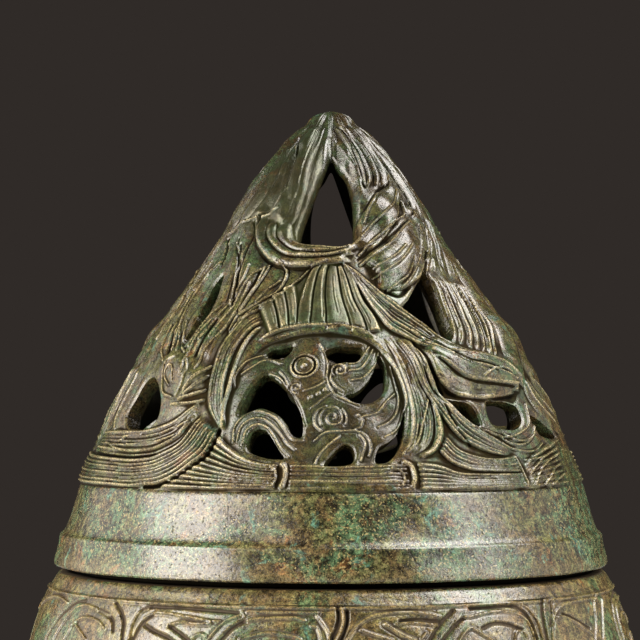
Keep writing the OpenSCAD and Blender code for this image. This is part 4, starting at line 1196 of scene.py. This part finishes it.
rivet_iron = patinated_bronze(
    "rusted rivet iron", olive=(0.07, 0.042, 0.025), brown=(0.05, 0.03, 0.018), green=(0.09, 0.05, 0.025),
    ridge=(0.16, 0.11, 0.07), rust=(0.16, 0.06, 0.02), teal=(0.10, 0.05, 0.025),
    green_share=0.4, rust_share=0.9, teal_share=0.4, wear=0.5)


def dress(piece, material):
    piece.data.materials.clear()
    piece.data.materials.append(material)


castings = [
    (lid_pieces, "lid", "hill_lid", "lid_bronze", lid_bronze),
    (bowl_pieces, "burner", "bowl", "bowl_bronze", bowl_bronze),
    ([stem_piece], "burner", "stem", "foot_bronze", foot_bronze),
    ([foot_piece], "burner", "foot", "foot_bronze", foot_bronze),
]
for pieces, body, node, slot, finish in castings:
    for piece in pieces:
        dress(piece, band_bronze if piece is band else finish)
        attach(piece, body)
        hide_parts(node)
dress(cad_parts["tie_rivet"], rivet_iron)
dress(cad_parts["bowl_burr"], burr_bronze)
dress(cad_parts["foot_burr"], burr_bronze)

# Floor, light and camera

floor_r, floor_dark, floor_pale = 0.6, (0.60, 0.585, 0.56), (0.66, 0.645, 0.62)
bm = bmesh.new()
bmesh.ops.create_circle(bm, cap_ends=True, segments=128, radius=floor_r)
floor = finished_piece("floor", bm)
floor_finish = Finish("pale floor")
floor_colour = floor_finish.mix(floor_finish.noise(30, 3), floor_dark, floor_pale)
floor_finish.put(floor_finish.shader.inputs["Base Color"], floor_colour)
floor_finish.shader.inputs["Roughness"].default_value = 0.75
dress(floor, floor_finish.material)

backdrop = (0.0296, 0.0242, 0.0212, 1)
world = bpy.data.worlds.new("studio")
bpy.context.scene.world = world
world.use_nodes = True
world.node_tree.nodes["Background"].inputs["Color"].default_value = backdrop
world.node_tree.nodes["Background"].inputs["Strength"].default_value = 1.0


def softbox(name, azimuth, elevation, distance, size, power, colour):
    """A lamp so many degrees round from the front and up, aimed at the lid."""
    aim = Vector((0, 0, 0.155))
    light = bpy.data.lights.new(name, "AREA")
    light.shape = "RECTANGLE"
    light.size, light.size_y = size
    light.energy = power
    light.color = colour
    lamp = bpy.data.objects.new(name, light)
    a, e = math.radians(azimuth), math.radians(elevation)
    away = Vector((math.sin(a) * math.cos(e), -math.cos(a) * math.cos(e), math.sin(e)))
    lamp.location = aim + away * distance
    lamp.rotation_euler = away.to_track_quat("Z", "Y").to_euler()
    bpy.context.scene.collection.objects.link(lamp)


# Lamps: degrees round and up, metres away, width and height, watts, colour
softbox("left softbox", -63, 13, 0.85, (0.60, 0.88), 14.6, (1.0, 0.94, 0.87))
softbox("left fill", -108, 10, 0.85, (0.80, 0.80), 2.6, (1.0, 0.95, 0.90))
softbox("right strip", 63.5, 15, 0.85, (0.21, 1.08), 5.8, (1.0, 0.95, 0.89))
softbox("right fill", 102, 8, 0.85, (0.70, 0.70), 1.0, (1.0, 0.95, 0.90))
softbox("high right fill", 84, 57, 0.80, (0.50, 0.50), 7.6, (1.0, 0.96, 0.92))

camera_data = bpy.data.cameras.new("camera")
camera = bpy.data.objects.new("camera", camera_data)
bpy.context.scene.collection.objects.link(camera)
bpy.context.scene.camera = camera
focal_px, axis_px, level_px, picture_px = 2375, 331, 395, 640
away_mm, above_seat_mm, sensor_mm = 434, 30.5, 36
camera_data.sensor_width = sensor_mm
camera_data.lens = sensor_mm * focal_px / picture_px
camera.location = (0, -away_mm * MM, (seat_mm + above_seat_mm) * MM)
pitch = math.atan((level_px - picture_px / 2) / focal_px)
yaw = math.atan((axis_px - picture_px / 2) / focal_px)
camera.rotation_euler = (math.pi / 2 + pitch, 0, yaw)
camera_data.clip_start = 0.01

bpy.context.scene.view_settings.view_transform = "Standard"
